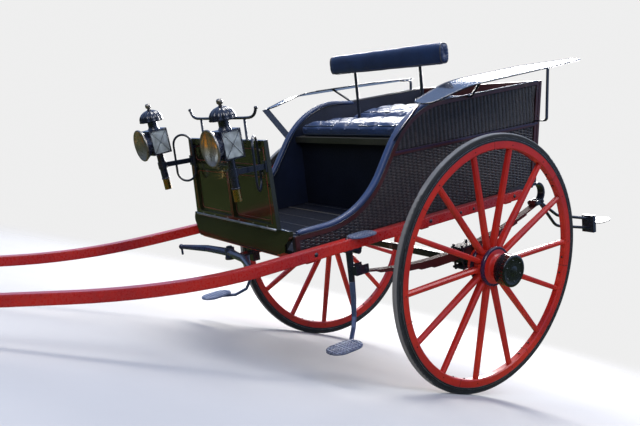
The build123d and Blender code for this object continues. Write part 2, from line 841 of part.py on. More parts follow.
def dashboard():
    """Panels in a frame with a centre stile and an upper rail."""
    upright = Plane(origin=(dash_x, 0, 0), x_dir=(0, 1, 0), z_dir=(1, 0, 0))
    outline = dash_outline()
    whole = extrude(upright * outline, amount=dash_frame_thick)
    wide = dash_half_width - dash_frame_width
    openings = Sketch()
    # centre across, centre up, width, height of each sunk panel
    low = apron_top + dash_frame_width
    lower_height = dash_upper_rail - low - dash_frame_width / 2
    upper_height = dash_top - dash_frame_width - dash_upper_rail - dash_frame_width / 2
    panel_width = wide - dash_frame_width / 2
    for side in (-1, 1):
        across = side * (wide + dash_frame_width / 2) / 2
        openings += Pos(across, low + lower_height / 2) * Rectangle(panel_width, lower_height)
    openings += Pos(0, dash_top - dash_frame_width - upper_height / 2) * Rectangle(2 * wide, upper_height)
    sunk = extrude(Plane(origin=(dash_x + dash_panel_thick, 0, 0), x_dir=(0, 1, 0), z_dir=(1, 0, 0)) * openings,
                   amount=dash_frame_thick)
    return whole - sunk


rein_x = dash_x + dash_frame_thick / 2


def rein_rail():
    bar = rod([
        (rein_x, -rein_tip_spacing, rein_tip_height), (rein_x, -rein_bend_spacing, rein_rail_height),
        (rein_x, rein_bend_spacing, rein_rail_height), (rein_x, rein_tip_spacing, rein_tip_height),
    ], rein_rod_radius, rein_bend_radius)
    for side in (-1, 1):
        y = side * rein_post_spacing
        bar += disc(rein_x, y, dash_top, rein_rail_height, rein_rod_radius)
        bar += Pos(rein_x, side * rein_tip_spacing, rein_tip_height) * Sphere(rein_knob_radius)
    return bar


def dash_loop():
    """The long oval iron loop in front of the dashboard's edge, splayed outwards, on two short studs."""
    oval_width = loop_width - 2 * loop_rod_radius
    oval = SlotCenterToCenter(loop_length - loop_width, oval_width, rotation=90)
    path = oval.wire()
    start = Plane(origin=path @ 0, z_dir=path % 0)
    ring = Rot(0, 0, loop_splay_deg) * Rot(90, 0, 0) * sweep(start * Circle(loop_rod_radius), path=path)
    splay = math.radians(loop_splay_deg)
    panel_face = dash_x + dash_panel_thick
    inner_x = dash_x + dash_frame_thick + loop_rod_radius + loop_stand
    iron = Pos(inner_x + oval_width / 2 * math.cos(splay), loop_inner_y + oval_width / 2 * math.sin(splay),
               loop_middle) * ring
    for z in (loop_middle - loop_stud_spacing, loop_middle + loop_stud_spacing):
        iron += block(panel_face, inner_x, loop_inner_y - loop_stud_half, loop_inner_y + loop_stud_half,
                      z - loop_rod_radius, z + loop_rod_radius)
    return (iron - dashboard()).solids().sort_by(SortBy.VOLUME)[-1]


def seat_board():
    wide = body_half_width - panel_thick
    board = block(seat_back, seat_front, -wide, wide, seat_top - seat_board_thick, seat_top)
    rail = block(seat_front - seat_rail_thick, seat_front, -wide, wide,
                 seat_top - seat_rail_depth, seat_top - seat_board_thick)
    return board + rail


def heel_board():
    wide = body_half_width - panel_thick
    return block(heel_board_x - heel_board_thick, heel_board_x, -wide, wide,
                 body_bottom + floor_thick, seat_top - seat_board_thick)


def cushion(back, front, thick):
    wide = body_half_width - panel_thick - cushion_side_gap
    pad = block(back, front, -wide, wide, seat_top + 0.3, seat_top + thick)
    upper = pad.edges().filter_by_position(Axis.Z, seat_top + thick - 1, seat_top + thick + 1)
    return fillet(upper, cushion_corner)


def backrest_irons():
    irons = []
    for side in (-1, 1):
        y = side * backrest_iron_spacing
        foot = disc(backrest_x, y, seat_top, seat_top + iron_foot_thick, iron_foot_radius)
        top = backrest_height - backrest_radius + backrest_socket
        irons.append(foot + disc(backrest_x, y, seat_top, top, backrest_iron_radius))
    return irons


def backrest_roll():
    roll = Pos(backrest_x, 0, backrest_height) * Rot(90, 0, 0) * Cylinder(backrest_radius, 2 * backrest_half_length)
    roll = fillet(roll.edges(), 9.0)
    for iron in backrest_irons():
        roll -= iron
    return roll


wing_slope = math.tan(math.radians(wing_slope_deg))


def wing(sunk_deg):
    """A thin blade, arched along its length, sloping outwards and tapering in plan to a narrow tail."""
    crown = FilletPolyline(
        (wing_front + wing_front_bulge, wing_front_z - 6), (wing_knee_x, wing_knee_z),
        (wing_back_knee_x, wing_back_knee_z), (wing_rear, wing_rear_z), radius=wing_bend_radius)
    start_y = wing_inner - cut_past
    wide = wing_outer - wing_inner + 2 * cut_past
    profile = Pos(0, start_y, wing_slope * cut_past) * (Plane.XZ * trace(crown, line_width=wing_thick))
    strip = extrude(profile, amount=wide, dir=(0, 1, -wing_slope))
    plan = make_face([
        ThreePointArc((wing_front, wing_inner), (wing_front + wing_front_bulge, (wing_inner + wing_front_outer) / 2),
                      (wing_shoulder_x, wing_front_outer)),
        Polyline((wing_shoulder_x, wing_front_outer), (wing_broad_x, wing_outer), (wing_back_knee_x, wing_back_outer),
                 (wing_rear, wing_tip_y + wing_tip_half), (wing_rear, wing_tip_y - wing_tip_half),
                 (wing_back_knee_x, wing_back_inner), (wing_front, wing_inner)),
    ])
    corners = plan.vertices().filter_by(lambda v: v.X > wing_shoulder_x - 1)
    plan = fillet(corners, wing_front_corner)
    shoulder = plan.vertices().filter_by(lambda v: abs(v.X - wing_broad_x) < 1)
    plan = fillet(shoulder, wing_broad_bend)
    tail = plan.vertices().filter_by(lambda v: v.X < wing_rear + 1)
    plan = fillet(tail, wing_tip_half - 2)
    blade = strip & plan_slab(plan, wing_front_z - 2 * cut_past, wing_rear_z + 2 * cut_past)
    return sunk(blade, sunk_deg)


def sunk(shape, sunk_deg):
    """A wing's shape turned down about its front edge."""
    return Pos(wing_front, 0, wing_front_z) * Rot(0, -sunk_deg, 0) * Pos(-wing_front, 0, -wing_front_z) * shape


def wing_height(x, y, sunk_deg):
    """Height of the wing's middle surface, by straight runs between its knees."""
    runs = (
        (wing_rear, wing_rear_z), (wing_back_knee_x, wing_back_knee_z),
        (wing_knee_x, wing_knee_z), (wing_front, wing_front_z),
    )
    height = wing_front_z
    for (xa, za), (xb, zb) in zip(runs, runs[1:]):
        if xa <= x <= xb:
            height = za + (x - xa) / (xb - xa) * (zb - za)
    return height - wing_slope * (y - wing_inner) - (wing_front - x) * math.tan(math.radians(sunk_deg))


def front_stay(sunk_deg):
    """The broad flat iron from the side of the roll up under the wing's front, its flat turned forward."""
    face = body_half_width + frame_proud
    top_y = wing_inner + front_stay_reach
    foot = Vector(front_stay_x, face, front_stay_foot_z)
    top = Vector(front_stay_top_x, top_y, wing_height(front_stay_top_x, top_y, sunk_deg) + stay_lap)
    along = (top - foot).normalized()
    turn = math.radians(front_stay_turn_deg)
    flat = Vector(1, 0, 0) * math.cos(turn) + along.cross(Vector(1, 0, 0)) * math.sin(turn)
    length = (top - foot).length + front_stay_width
    bar = Plane(origin=top - along * (length / 2), x_dir=flat, z_dir=along) * Box(
        front_stay_width, flat_stay_thick, length)
    inside = block(foot.X - length, foot.X + length, 0, face, foot.Z - length, foot.Z + length)
    return bar - inside


def middle_stay(sunk_deg):
    """The short round iron from the body's top edge."""
    face = body_half_width + frame_proud
    foot_z = body_top - middle_stay_drop
    top_y = wing_inner + stay_reach
    return rod([
        (middle_stay_x, face, foot_z), (middle_stay_x, face + stay_foot_run, foot_z),
        (middle_stay_top_x, top_y, wing_height(middle_stay_top_x, top_y, sunk_deg) + stay_lap),
    ], stay_radius, stay_bend)


def rear_stay(sunk_deg):
    """The flat iron from the body's rear corner: outward, up beside the tail, and outward under the blade."""
    face = body_half_width + frame_proud
    corner_y = face + rear_stay_run
    reach_y = wing_back_inner + 2 * stay_reach
    rise = wing_height(rear_stay_x, reach_y, sunk_deg) - wing_thick - flat_stay_thick / 2 - rear_stay_foot_z
    top_x = rear_stay_x - rear_stay_lean * rise
    path = FilletPolyline(
        (rear_stay_x, face, rear_stay_foot_z), (rear_stay_x, corner_y, rear_stay_foot_z),
        (top_x, corner_y, rear_stay_foot_z + rise), (top_x, reach_y, rear_stay_foot_z + rise + stay_lap),
        radius=stay_bend)
    return flat_bar(path, rear_stay_width, rear_stay_lean)


def flat_bar(path, width, lean):
    """A flat iron whose width stays in the cart's length while it is bent outward and up."""
    along_cart = Vector(1, 0, lean).normalized()
    start = Plane(origin=path @ 0, x_dir=along_cart, z_dir=path % 0)
    return sweep(start * Rectangle(width, flat_stay_thick), path=path)


def wing_stays(sunk_deg):
    """Three irons from the body's edge up to the underside of one wing."""
    blade = wing(sunk_deg)
    stays = (front_stay(sunk_deg), middle_stay(sunk_deg), rear_stay(sunk_deg))
    return [(stay - blade).solids().sort_by(SortBy.VOLUME)[-1] for stay in stays]


def about_upright(points_and_edges):
    """A form turned about the upright Z axis, drawn with the radius along X and the height along Y."""
    return Rot(90, 0, 0) * revolve(make_face(points_and_edges), axis=Axis.Y)


def leaning(shape, lean_deg):
    """A lamp's pieces, leaning forward in their socket."""
    return Pos(lamp_x, 0, socket_z) * Rot(0, lean_deg, 0) * Pos(-lamp_x, 0, -socket_z) * shape


def lamp_case():
    """Box, lens ring, chimney, domed cap with finial and the candle tube below, as one tinned body."""
    half = lamp_box_half
    mid = (lamp_box_bottom + lamp_box_top) / 2
    height = lamp_box_top - lamp_box_bottom
    box = Pos(lamp_x, lamp_y, mid) * Box(2 * half, 2 * half, height)
    inside = Pos(lamp_x, lamp_y, mid) * Box(2 * (half - lamp_wall), 2 * (half - lamp_wall), height - 2 * lamp_wall)
    window = Pos(lamp_x, lamp_y, mid) * Box(
        2 * (half - lamp_window_margin), 4 * half, height - 2 * lamp_window_margin)
    case = box - inside - window
    front = lamp_x + half
    throat_wall = lens_ring_thick - 2
    ring = about_upright(Polyline(
        (lens_throat_radius, 0), (lens_radius - lens_flare, 0), (lens_radius, lens_ring_depth - lens_lip),
        (lens_radius, lens_ring_depth), (lens_radius - lens_ring_thick, lens_ring_depth),
        (lens_radius - lens_ring_thick, lens_ring_depth - lens_lip),
        (lens_throat_radius + throat_wall, lens_ring_thick), (lens_throat_radius, lens_ring_thick), close=True))
    case += Pos(front, lamp_y, lens_z) * Rot(0, 90, 0) * ring
    case -= Pos(front, lamp_y, lens_z) * Rot(0, 90, 0) * Cylinder(lens_throat_radius, 4 * lamp_wall)
    rim = chimney_top - dome_drop
    knob_bottom = dome_top + finial_neck_height
    crown = about_upright([
        Polyline((0, lamp_box_top - 1), (chimney_foot_radius, lamp_box_top - 1),
                 (chimney_radius, lamp_box_top + chimney_taper), (chimney_radius, chimney_top),
                 (dome_radius, rim), (dome_radius, rim + dome_lip)),
        RadiusArc((dome_radius, rim + dome_lip), (finial_neck, dome_top), -dome_arc_radius),
        Polyline((finial_neck, dome_top), (finial_neck, knob_bottom), (finial_radius, knob_bottom + finial_edge),
                 (finial_radius, finial_top - finial_edge), (finial_radius - finial_edge, finial_top),
                 (0, finial_top), (0, lamp_box_top - 1)),
    ])
    case += Pos(lamp_x, lamp_y, 0) * crown
    case += disc(lamp_x, lamp_y, candle_bottom, lamp_box_bottom + 0.5, candle_radius)
    case += disc(lamp_x, lamp_y, candle_end_bottom, candle_bottom + 0.5, candle_end_radius)
    return case


def lamp_glass():
    half = lamp_box_half
    mid = (lamp_box_bottom + lamp_box_top) / 2
    height = lamp_box_top - lamp_box_bottom
    reach = half - lamp_wall
    panes = []
    for side in (-1, 1):
        y = lamp_y + side * (reach - lamp_glass_thick / 2)
        panes.append(Pos(lamp_x, y, mid) * Box(
            2 * (half - lamp_window_margin + lamp_glass_lap), lamp_glass_thick,
            height - 2 * (lamp_window_margin - lamp_glass_lap)))
    front = lamp_x + half + lens_ring_depth - lens_lip
    lens = Pos(front + lens_glass_thick / 2, lamp_y, lens_z) * Rot(0, 90, 0) * Cylinder(
        lens_radius - lens_ring_thick, lens_glass_thick)
    return panes + [lens]


def lamp_bracket(lean_deg):
    """A clamp round the candle tube and a strap back to the dashboard's frame."""
    ring = disc(lamp_x, lamp_y, socket_z - socket_height / 2, socket_z + socket_height / 2,
                candle_radius + socket_wall)
    dash_face = dash_x + dash_frame_thick
    strap = block(dash_face, lamp_x, lamp_y - bracket_thick / 2, lamp_y + bracket_thick / 2,
                  socket_z - bracket_width / 2, socket_z + bracket_width / 2)
    pad = block(dash_face, dash_face + bracket_thick, lamp_y - 2 * bracket_thick, lamp_y + 1.5 * bracket_thick,
                socket_z - bracket_width, socket_z + bracket_width)
    tube = disc(lamp_x, lamp_y, socket_z - cut_past, socket_z + cut_past, candle_radius)
    return leaning(ring, lean_deg) + strap + pad - leaning(tube, lean_deg)


def swingletree():
    """A bowed bar, thick at the middle, with a pivot boss and a pin below each end for a trace."""
    half_path = FilletPolyline(
        (swingle_x, 0), (swingle_x + swingle_bow * 0.25, swingle_half * 0.5),
        (swingle_x + swingle_bow, swingle_half), radius=swingle_sweep_radius)
    sections = []
    for t, r in ((0.0, swingle_middle_radius), (0.5, swingle_arm_radius), (1.0, swingle_end_radius)):
        p = half_path @ t
        d = half_path % t
        if t == 0.0:
            d = Vector(0, 1, 0)
        sections.append(Plane(origin=(p.X, p.Y, swingle_z), z_dir=(d.X, d.Y, 0)) * RegularPolygon(r, 10))
    arm = loft(sections, ruled=True)
    tree = arm + other_side(arm)
    for side in (-1, 1):
        x = swingle_x + swingle_bow
        y = side * swingle_half
        tree += Pos(x, y, swingle_z) * Sphere(trace_ball_radius)
        tree += disc(x, y, swingle_z - trace_pin_length, swingle_z, trace_pin_radius)
    half_boss = swingle_boss_height / 2
    tree += disc(swingle_x, 0, swingle_z - half_boss, swingle_z + half_boss, swingle_boss_radius)
    tree -= disc(swingle_x, 0, swingle_z - swingle_boss_height, swingle_z + swingle_boss_height,
                 swingle_pin_radius + swingle_pin_fit)
    return tree


def swingletree_bracket():
    """The strap under the first crossbar, its packing block and the pivot pin."""
    low = body_bottom - crossbar_depth - strap_thick
    boss_low = swingle_z - swingle_boss_height / 2 - swingle_play
    back = crossbar_places[0] - strap_tail
    strap = block(back, swingle_x, -strap_width / 2, strap_width / 2, boss_low - strap_thick, boss_low)
    strap += disc(swingle_x, 0, boss_low - strap_thick, boss_low, strap_width / 2)
    packing = block(crossbar_places[0], crossbar_places[0] + crossbar_width, -drop_block_half, drop_block_half,
                    boss_low, body_bottom - crossbar_depth)
    pin_top = swingle_z + swingle_boss_height / 2 + swingle_play
    pin = disc(swingle_x, 0, boss_low - 1, pin_top + swingle_head_thick, swingle_pin_radius)
    head = disc(swingle_x, 0, pin_top, pin_top + swingle_head_thick, swingle_head_radius)
    drop_half = drop_block_half - drop_block_step
    drop = block(crossbar_places[0] + drop_block_step, crossbar_places[0] + crossbar_width - drop_block_step,
                 -drop_half, drop_half, boss_low - strap_thick - drop_block_depth, boss_low - strap_thick)
    return strap + packing + pin + head + drop


def oval_pad(length, width, thick):
    return extrude(SlotOverall(length, width), amount=thick)


def front_step():
    """The lower half of the hanging iron, swept forward and outward under its oval tread."""
    pad = Pos(step_pad_x, step_pad_y, step_pad_z) * oval_pad(step_pad_length, step_pad_width, step_pad_thick)
    return forged_bar(step_stations) + pad


def shaft_step():
    return Pos(shaft_step_x, shaft_spacing + shaft_step_out, shaft_top) * oval_pad(
        shaft_step_length, shaft_step_width, shaft_step_thick)


def rear_step():
    """Two irons from the toe of the rear scroll, an upright block and an oval ribbed tread."""
    block_x = rear_step_x + rear_pad_length / 2 + rear_block_thick / 2 - step_block_lap
    root = (toe_x, spring_y, toe_z)
    upper = rod([
        root, (step_fork_x, step_fork_y, step_fork_z), (block_x, rear_step_y, rear_step_z + step_fork_half)],
        rear_iron_radius, rear_iron_bend)
    lower = rod([
        root, (step_fork_x + 20, step_fork_y, step_fork_z - 2 * step_fork_half),
        (block_x, rear_step_y, rear_step_z - step_fork_half)], rear_iron_radius, rear_iron_bend)
    end = Pos(block_x, rear_step_y, rear_step_z) * Box(rear_block_thick, rear_block_width, rear_block_depth)
    pad = Pos(rear_step_x, rear_step_y, rear_step_z - step_pad_thick / 2) * oval_pad(
        rear_pad_length, rear_pad_width, step_pad_thick)
    whole = upper + lower + end + pad
    return (whole - rear_scroll()).solids().sort_by(SortBy.VOLUME)[-1]


# Every piece, by its node, with the body still level
level = {}


def add(name, shape):
    if isinstance(shape, (list, tuple)):
        solids = []
        for s in shape:
            solids.extend(s.solids())
        shape = Compound(children=solids)
    level[name] = shape


wheel_pieces = {
    "tyre": tyre(),
    "channel": channel(),
    "felloes": felloes(),
    "spokes": spokes(),
    "nave": nave(),
    "bands": hub_bands(),
    "cap": hub_cap(),
}
for piece, shape in wheel_pieces.items():
    solids = shape if isinstance(shape, list) else [shape]
    placed = [on_left_arm(s) for s in solids]
    add("wheel_left_" + piece, placed)
    add("wheel_right_" + piece, [other_side(s) for s in placed])

add("axle", axle())
# side, its mirror, how far its wing has sunk, its lamp's lean
sides = (
    ("left", lambda s: s, 0.0, lamp_lean_left_deg),
    ("right", other_side, wing_sunk_deg, lamp_lean_right_deg),
)
for side, flip, wing_sink, lean in sides:
    add("spring_" + side, flip(spring()))
    add("shaft_" + side, flip(shaft()))
    add("side_panel_" + side, flip(side_panel()))
    add("side_frame_" + side, flip(side_frame()))
    add("edge_roll_" + side, flip(edge_roll()))
    add("wing_" + side, flip(wing(wing_sink)))
    add("wing_stays_" + side, [flip(s) for s in wing_stays(wing_sink)])
    add("lamp_case_" + side, flip(leaning(lamp_case(), lean)))
    add("lamp_glass_" + side, [flip(leaning(s, lean)) for s in lamp_glass()])
    add("front_step_" + side, flip(front_step()))


def pair(shape):
    return [shape, other_side(shape)]


add("axle_clips", pair(axle_clip()))
add("spring_hangers_front", pair(spring_hanger()))
add("spring_hangers_rear", pair(rear_scroll()))
add("crossbars", crossbars())
add("floor", floor())
add("toe_board", toe_board())
add("dashboard", dashboard())
add("rein_rail", rein_rail())
add("dash_loops", pair(dash_loop()))
add("seat_board", seat_board())
add("heel_board", heel_board())
add("cushion_front", cushion(front_cushion_back, seat_front - 2, front_cushion_thick))
add("cushion_rear", cushion(rear_cushion_back, rear_cushion_front, rear_cushion_thick))
add("backrest_roll", backrest_roll())
add("backrest_irons", backrest_irons())
add("lamp_brackets", [flip(lamp_bracket(lean)) for side, flip, wing_sink, lean in sides])
add("swingletree", swingletree())
add("swingletree_bracket", swingletree_bracket())
add("shaft_steps", pair(shaft_step()))
add("rear_step", rear_step())
add("tailboard", tailboard())
add("tail_hinges", tail_hinges())

# The cart is tipped about the axle until the round shaft points meet the ground with the wheels
camber = math.radians(camber_deg)
shoulder_radius = wheel_radius - tyre_shoulder
shoulder_place = tyre_width / 2 - channel_lip - tyre_shoulder
tip_distance = math.hypot(shaft_tip_x, tip_centre_z)
park_angle = 0.0
for _ in range(4):
    lean = math.asin(math.sin(camber) * math.cos(park_angle))
    axle_height = shoulder_radius * math.cos(lean) + shoulder_place * math.sin(lean) + tyre_shoulder
    park_angle = math.atan2(tip_centre_z, shaft_tip_x) + math.asin((axle_height - tip_round) / tip_distance)
park_deg = math.degrees(park_angle)


def parked(shape):
    return Pos(0, 0, axle_height) * Rot(0, park_deg, 0) * shape


standing = {name: parked(shape) for name, shape in level.items()}
front_end = max(s.bounding_box().max.X for s in standing.values())
rear_end = min(s.bounding_box().min.X for s in standing.values())
to_middle = -(front_end + rear_end) / 2

os.makedirs("parts", exist_ok=True)
for name, shape in standing.items():
    export_step(Pos(to_middle, 0, 0) * shape, "parts/" + name + ".step")
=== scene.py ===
import json
import math
import bmesh
import bpy
from mathutils import Matrix, Vector
from mathutils.bvhtree import BVHTree


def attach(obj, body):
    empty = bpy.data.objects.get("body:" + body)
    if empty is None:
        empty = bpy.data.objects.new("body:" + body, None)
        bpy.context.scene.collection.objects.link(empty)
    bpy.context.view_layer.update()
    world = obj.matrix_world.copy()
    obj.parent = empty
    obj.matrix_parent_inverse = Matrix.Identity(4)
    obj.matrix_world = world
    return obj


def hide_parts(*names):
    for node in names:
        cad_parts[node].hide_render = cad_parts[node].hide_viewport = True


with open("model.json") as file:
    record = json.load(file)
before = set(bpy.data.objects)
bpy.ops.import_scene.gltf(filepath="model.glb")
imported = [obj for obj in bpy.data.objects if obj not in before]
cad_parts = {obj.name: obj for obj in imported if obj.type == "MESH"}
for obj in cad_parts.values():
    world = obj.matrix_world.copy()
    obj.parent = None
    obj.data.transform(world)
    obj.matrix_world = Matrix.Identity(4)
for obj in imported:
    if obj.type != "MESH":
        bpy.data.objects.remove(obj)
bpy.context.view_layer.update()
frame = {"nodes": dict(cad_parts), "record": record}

nodes = frame["nodes"]
joints = {one["name"]: one for one in frame["record"]["behaviour"]["joints"]}
wheelPlace = Vector(joints["wheel_left_spin"]["pos_m"])
pivotAxis = joints["swingletree_pivot"]["axis"]
parkTurn = math.atan2(pivotAxis[0], pivotAxis[2])  # how far the parked cart stands nose down
# pieces are drawn with the shafts level and the axle at the origin, then turned into the parked row
toRow = Matrix.Translation((wheelPlace.x, 0, wheelPlace.z)) @ Matrix.Rotation(parkTurn, 4, "Y")
toLevel = toRow.inverted()
unmoved = Matrix.Identity(4)
bothSides = (("left", 1), ("right", -1))
print("frame read", round(math.degrees(parkTurn), 3))


def group(name, outputs):
    made = bpy.data.node_groups.new(name, "ShaderNodeTree")
    made.interface.new_socket("Place", in_out="INPUT", socket_type="NodeSocketVector")
    made.interface.new_socket("Scale", in_out="INPUT", socket_type="NodeSocketFloat")
    for title in outputs:
        made.interface.new_socket(title, in_out="OUTPUT", socket_type="NodeSocketFloat")
    start = made.nodes.new("NodeGroupInput")
    end = made.nodes.new("NodeGroupOutput")
    return made, start, end


def node(tree, kind, inputs=None, **settings):
    made = tree.nodes.new("ShaderNode" + kind)
    for key, value in settings.items():
        setattr(made, key, value)
    for key, value in (inputs or {}).items():
        if isinstance(value, bpy.types.NodeSocket):
            tree.links.new(value, made.inputs[key])
        else:
            made.inputs[key].default_value = value
    return made


def emptyMaterial(name):
    made = bpy.data.materials.new(name)
    made.use_nodes = True
    tree = made.node_tree
    tree.nodes.clear()
    return made, tree, node(tree, "OutputMaterial")


def scaled(tree, place, factor):
    return node(tree, "VectorMath", {0: place, 1: factor}, operation="MULTIPLY").outputs[0]


def mapped(tree, value, low, high, toLow=0.0, toHigh=1.0):
    return node(tree, "MapRange", {"Value": value, "From Min": low, "From Max": high,
                                   "To Min": toLow, "To Max": toHigh}).outputs[0]


def times(tree, a, b, operation="MULTIPLY"):
    return node(tree, "Math", {0: a, 1: b}, operation=operation).outputs[0]


def tinted(tree, factor, low, high):
    ends = [one if isinstance(one, bpy.types.NodeSocket) else (*one, 1) for one in (low, high)]
    return node(tree, "Mix", {"Factor": factor, "A": ends[0], "B": ends[1]}, data_type="RGBA").outputs["Result"]


def split(tree, vector):
    return node(tree, "SeparateXYZ", {0: vector}).outputs


# coordinates along the cart, across it and up, as it stands with level shafts
def levelGroup():
    made = bpy.data.node_groups.new("levelPlace", "ShaderNodeTree")
    made.interface.new_socket("Place", in_out="OUTPUT", socket_type="NodeSocketVector")
    end = made.nodes.new("NodeGroupOutput")
    place = node(made, "TexCoord").outputs["Object"]
    moved = node(made, "VectorMath", {0: place, 1: (wheelPlace.x, 0, wheelPlace.z)}, operation="SUBTRACT").outputs[0]
    turned = node(made, "VectorRotate", {"Vector": moved, "Axis": (0, 1, 0), "Angle": -parkTurn},
                  rotation_type="AXIS_ANGLE").outputs[0]
    made.links.new(turned, end.inputs[0])
    return made


# cloudy variation, fine specks, worn edges, and a mask on what faces up, for settled dust and, on some finishes, a
# painted highlight on the tops
def patinaGroup():
    made, start, end = group("patina", ("Mottle", "Speck", "Edge", "DustAndHighlight"))
    place = start.outputs["Place"]
    size = start.outputs["Scale"]
    cloud = node(made, "TexNoise", {"Vector": place, "Scale": times(made, size, 3.2), "Detail": 5.0, "Roughness": 0.6})
    fine = node(made, "TexNoise", {"Vector": place, "Scale": times(made, size, 90.0), "Detail": 3.0, "Roughness": 0.7})
    made.links.new(mapped(made, cloud.outputs[0], 0.32, 0.68), end.inputs["Mottle"])
    made.links.new(mapped(made, fine.outputs[0], 0.35, 0.7), end.inputs["Speck"])
    rounded = node(made, "Bevel", {"Radius": 0.004}, samples=4)
    facing = node(made, "NewGeometry").outputs["Normal"]
    same = node(made, "VectorMath", {0: rounded.outputs[0], 1: facing}, operation="DOT_PRODUCT")
    rubbed = mapped(made, same.outputs["Value"], 0.985, 0.86)
    torn = node(made, "TexNoise", {"Vector": place, "Scale": times(made, size, 26.0), "Detail": 4.0})
    made.links.new(times(made, rubbed, mapped(made, torn.outputs[0], 0.45, 0.62)), end.inputs["Edge"])
    # what faces up, in cloudy patches: settled dust, and on some finishes a painted highlight on the tops
    upward = mapped(made, split(made, facing)[2], 0.2, 1.0)
    made.links.new(times(made, upward, mapped(made, cloud.outputs[0], 0.35, 0.65)), end.inputs["DustAndHighlight"])
    return made


# a height pattern for bump
def grainGroup(name, build):
    made, start, end = group(name, ("Height",))
    made.links.new(build(made, start.outputs["Place"], start.outputs["Scale"]), end.inputs["Height"])
    return made


def leatherGrain(tree, place, size):
    cells = node(tree, "TexVoronoi", {"Vector": place, "Scale": times(tree, size, 420.0)}, feature="DISTANCE_TO_EDGE")
    folds = node(tree, "TexNoise", {"Vector": place, "Scale": times(tree, size, 22.0), "Detail": 4.0,
                                    "Distortion": 1.4})
    return times(tree, mapped(tree, cells.outputs[0], 0.0, 0.12), times(tree, folds.outputs[0], 1.6), "ADD")


def brushGrain(tree, place, size):
    drawn = node(tree, "TexNoise", {"Vector": scaled(tree, place, (1.0, 9.0, 9.0)), "Scale": times(tree, size, 30.0),
                                    "Detail": 3.0})
    ripple = node(tree, "TexNoise", {"Vector": place, "Scale": times(tree, size, 7.0), "Detail": 2.0})
    return times(tree, drawn.outputs[0], times(tree, ripple.outputs[0], 2.5), "ADD")


def woodGrain(tree, place, size):
    drawn = node(tree, "TexNoise", {"Vector": scaled(tree, place, (1.5, 26.0, 26.0)), "Scale": times(tree, size, 3.0),
                                    "Detail": 6.0, "Distortion": 0.6})
    return drawn.outputs[0]


def rubberGrain(tree, place, size):
    pits = node(tree, "TexNoise", {"Vector": place, "Scale": times(tree, size, 160.0), "Detail": 4.0,
                                   "Roughness": 0.75})
    cracks = node(tree, "TexVoronoi", {"Vector": place, "Scale": times(tree, size, 55.0)}, feature="DISTANCE_TO_EDGE")
    return times(tree, pits.outputs[0], mapped(tree, cracks.outputs[0], 0.0, 0.04), "ADD")


def reedGrain(tree, place, size):
    fibre = node(tree, "TexNoise", {"Vector": scaled(tree, place, (5.0, 30.0, 30.0)), "Scale": times(tree, size, 14.0),
                                    "Detail": 4.0})
    return fibre.outputs[0]


levelPlace = levelGroup()
patina = patinaGroup()
grains = {
    "leather": grainGroup("leatherGrain", leatherGrain),
    "brush": grainGroup("brushGrain", brushGrain),
    "wood": grainGroup("woodGrain", woodGrain),
    "rubber": grainGroup("rubberGrain", rubberGrain),
    "reed": grainGroup("reedGrain", reedGrain),
}
weave = {
    "start": -0.74, "end": 1.03, "pitch": 0.030,  # stakes along the side
    "stake": 0.0038, "stakeRise": 0.0034, "stakeApart": 0.0042,
    "row": 0.0080, "reed": 0.0036, "step": 0.0075, "depth": 0.0025,  # weavers across them
    # the colour of the painted shade between the weave's columns
    "paintedGapShade": (0.0016, 0.0013, 0.0016),
}


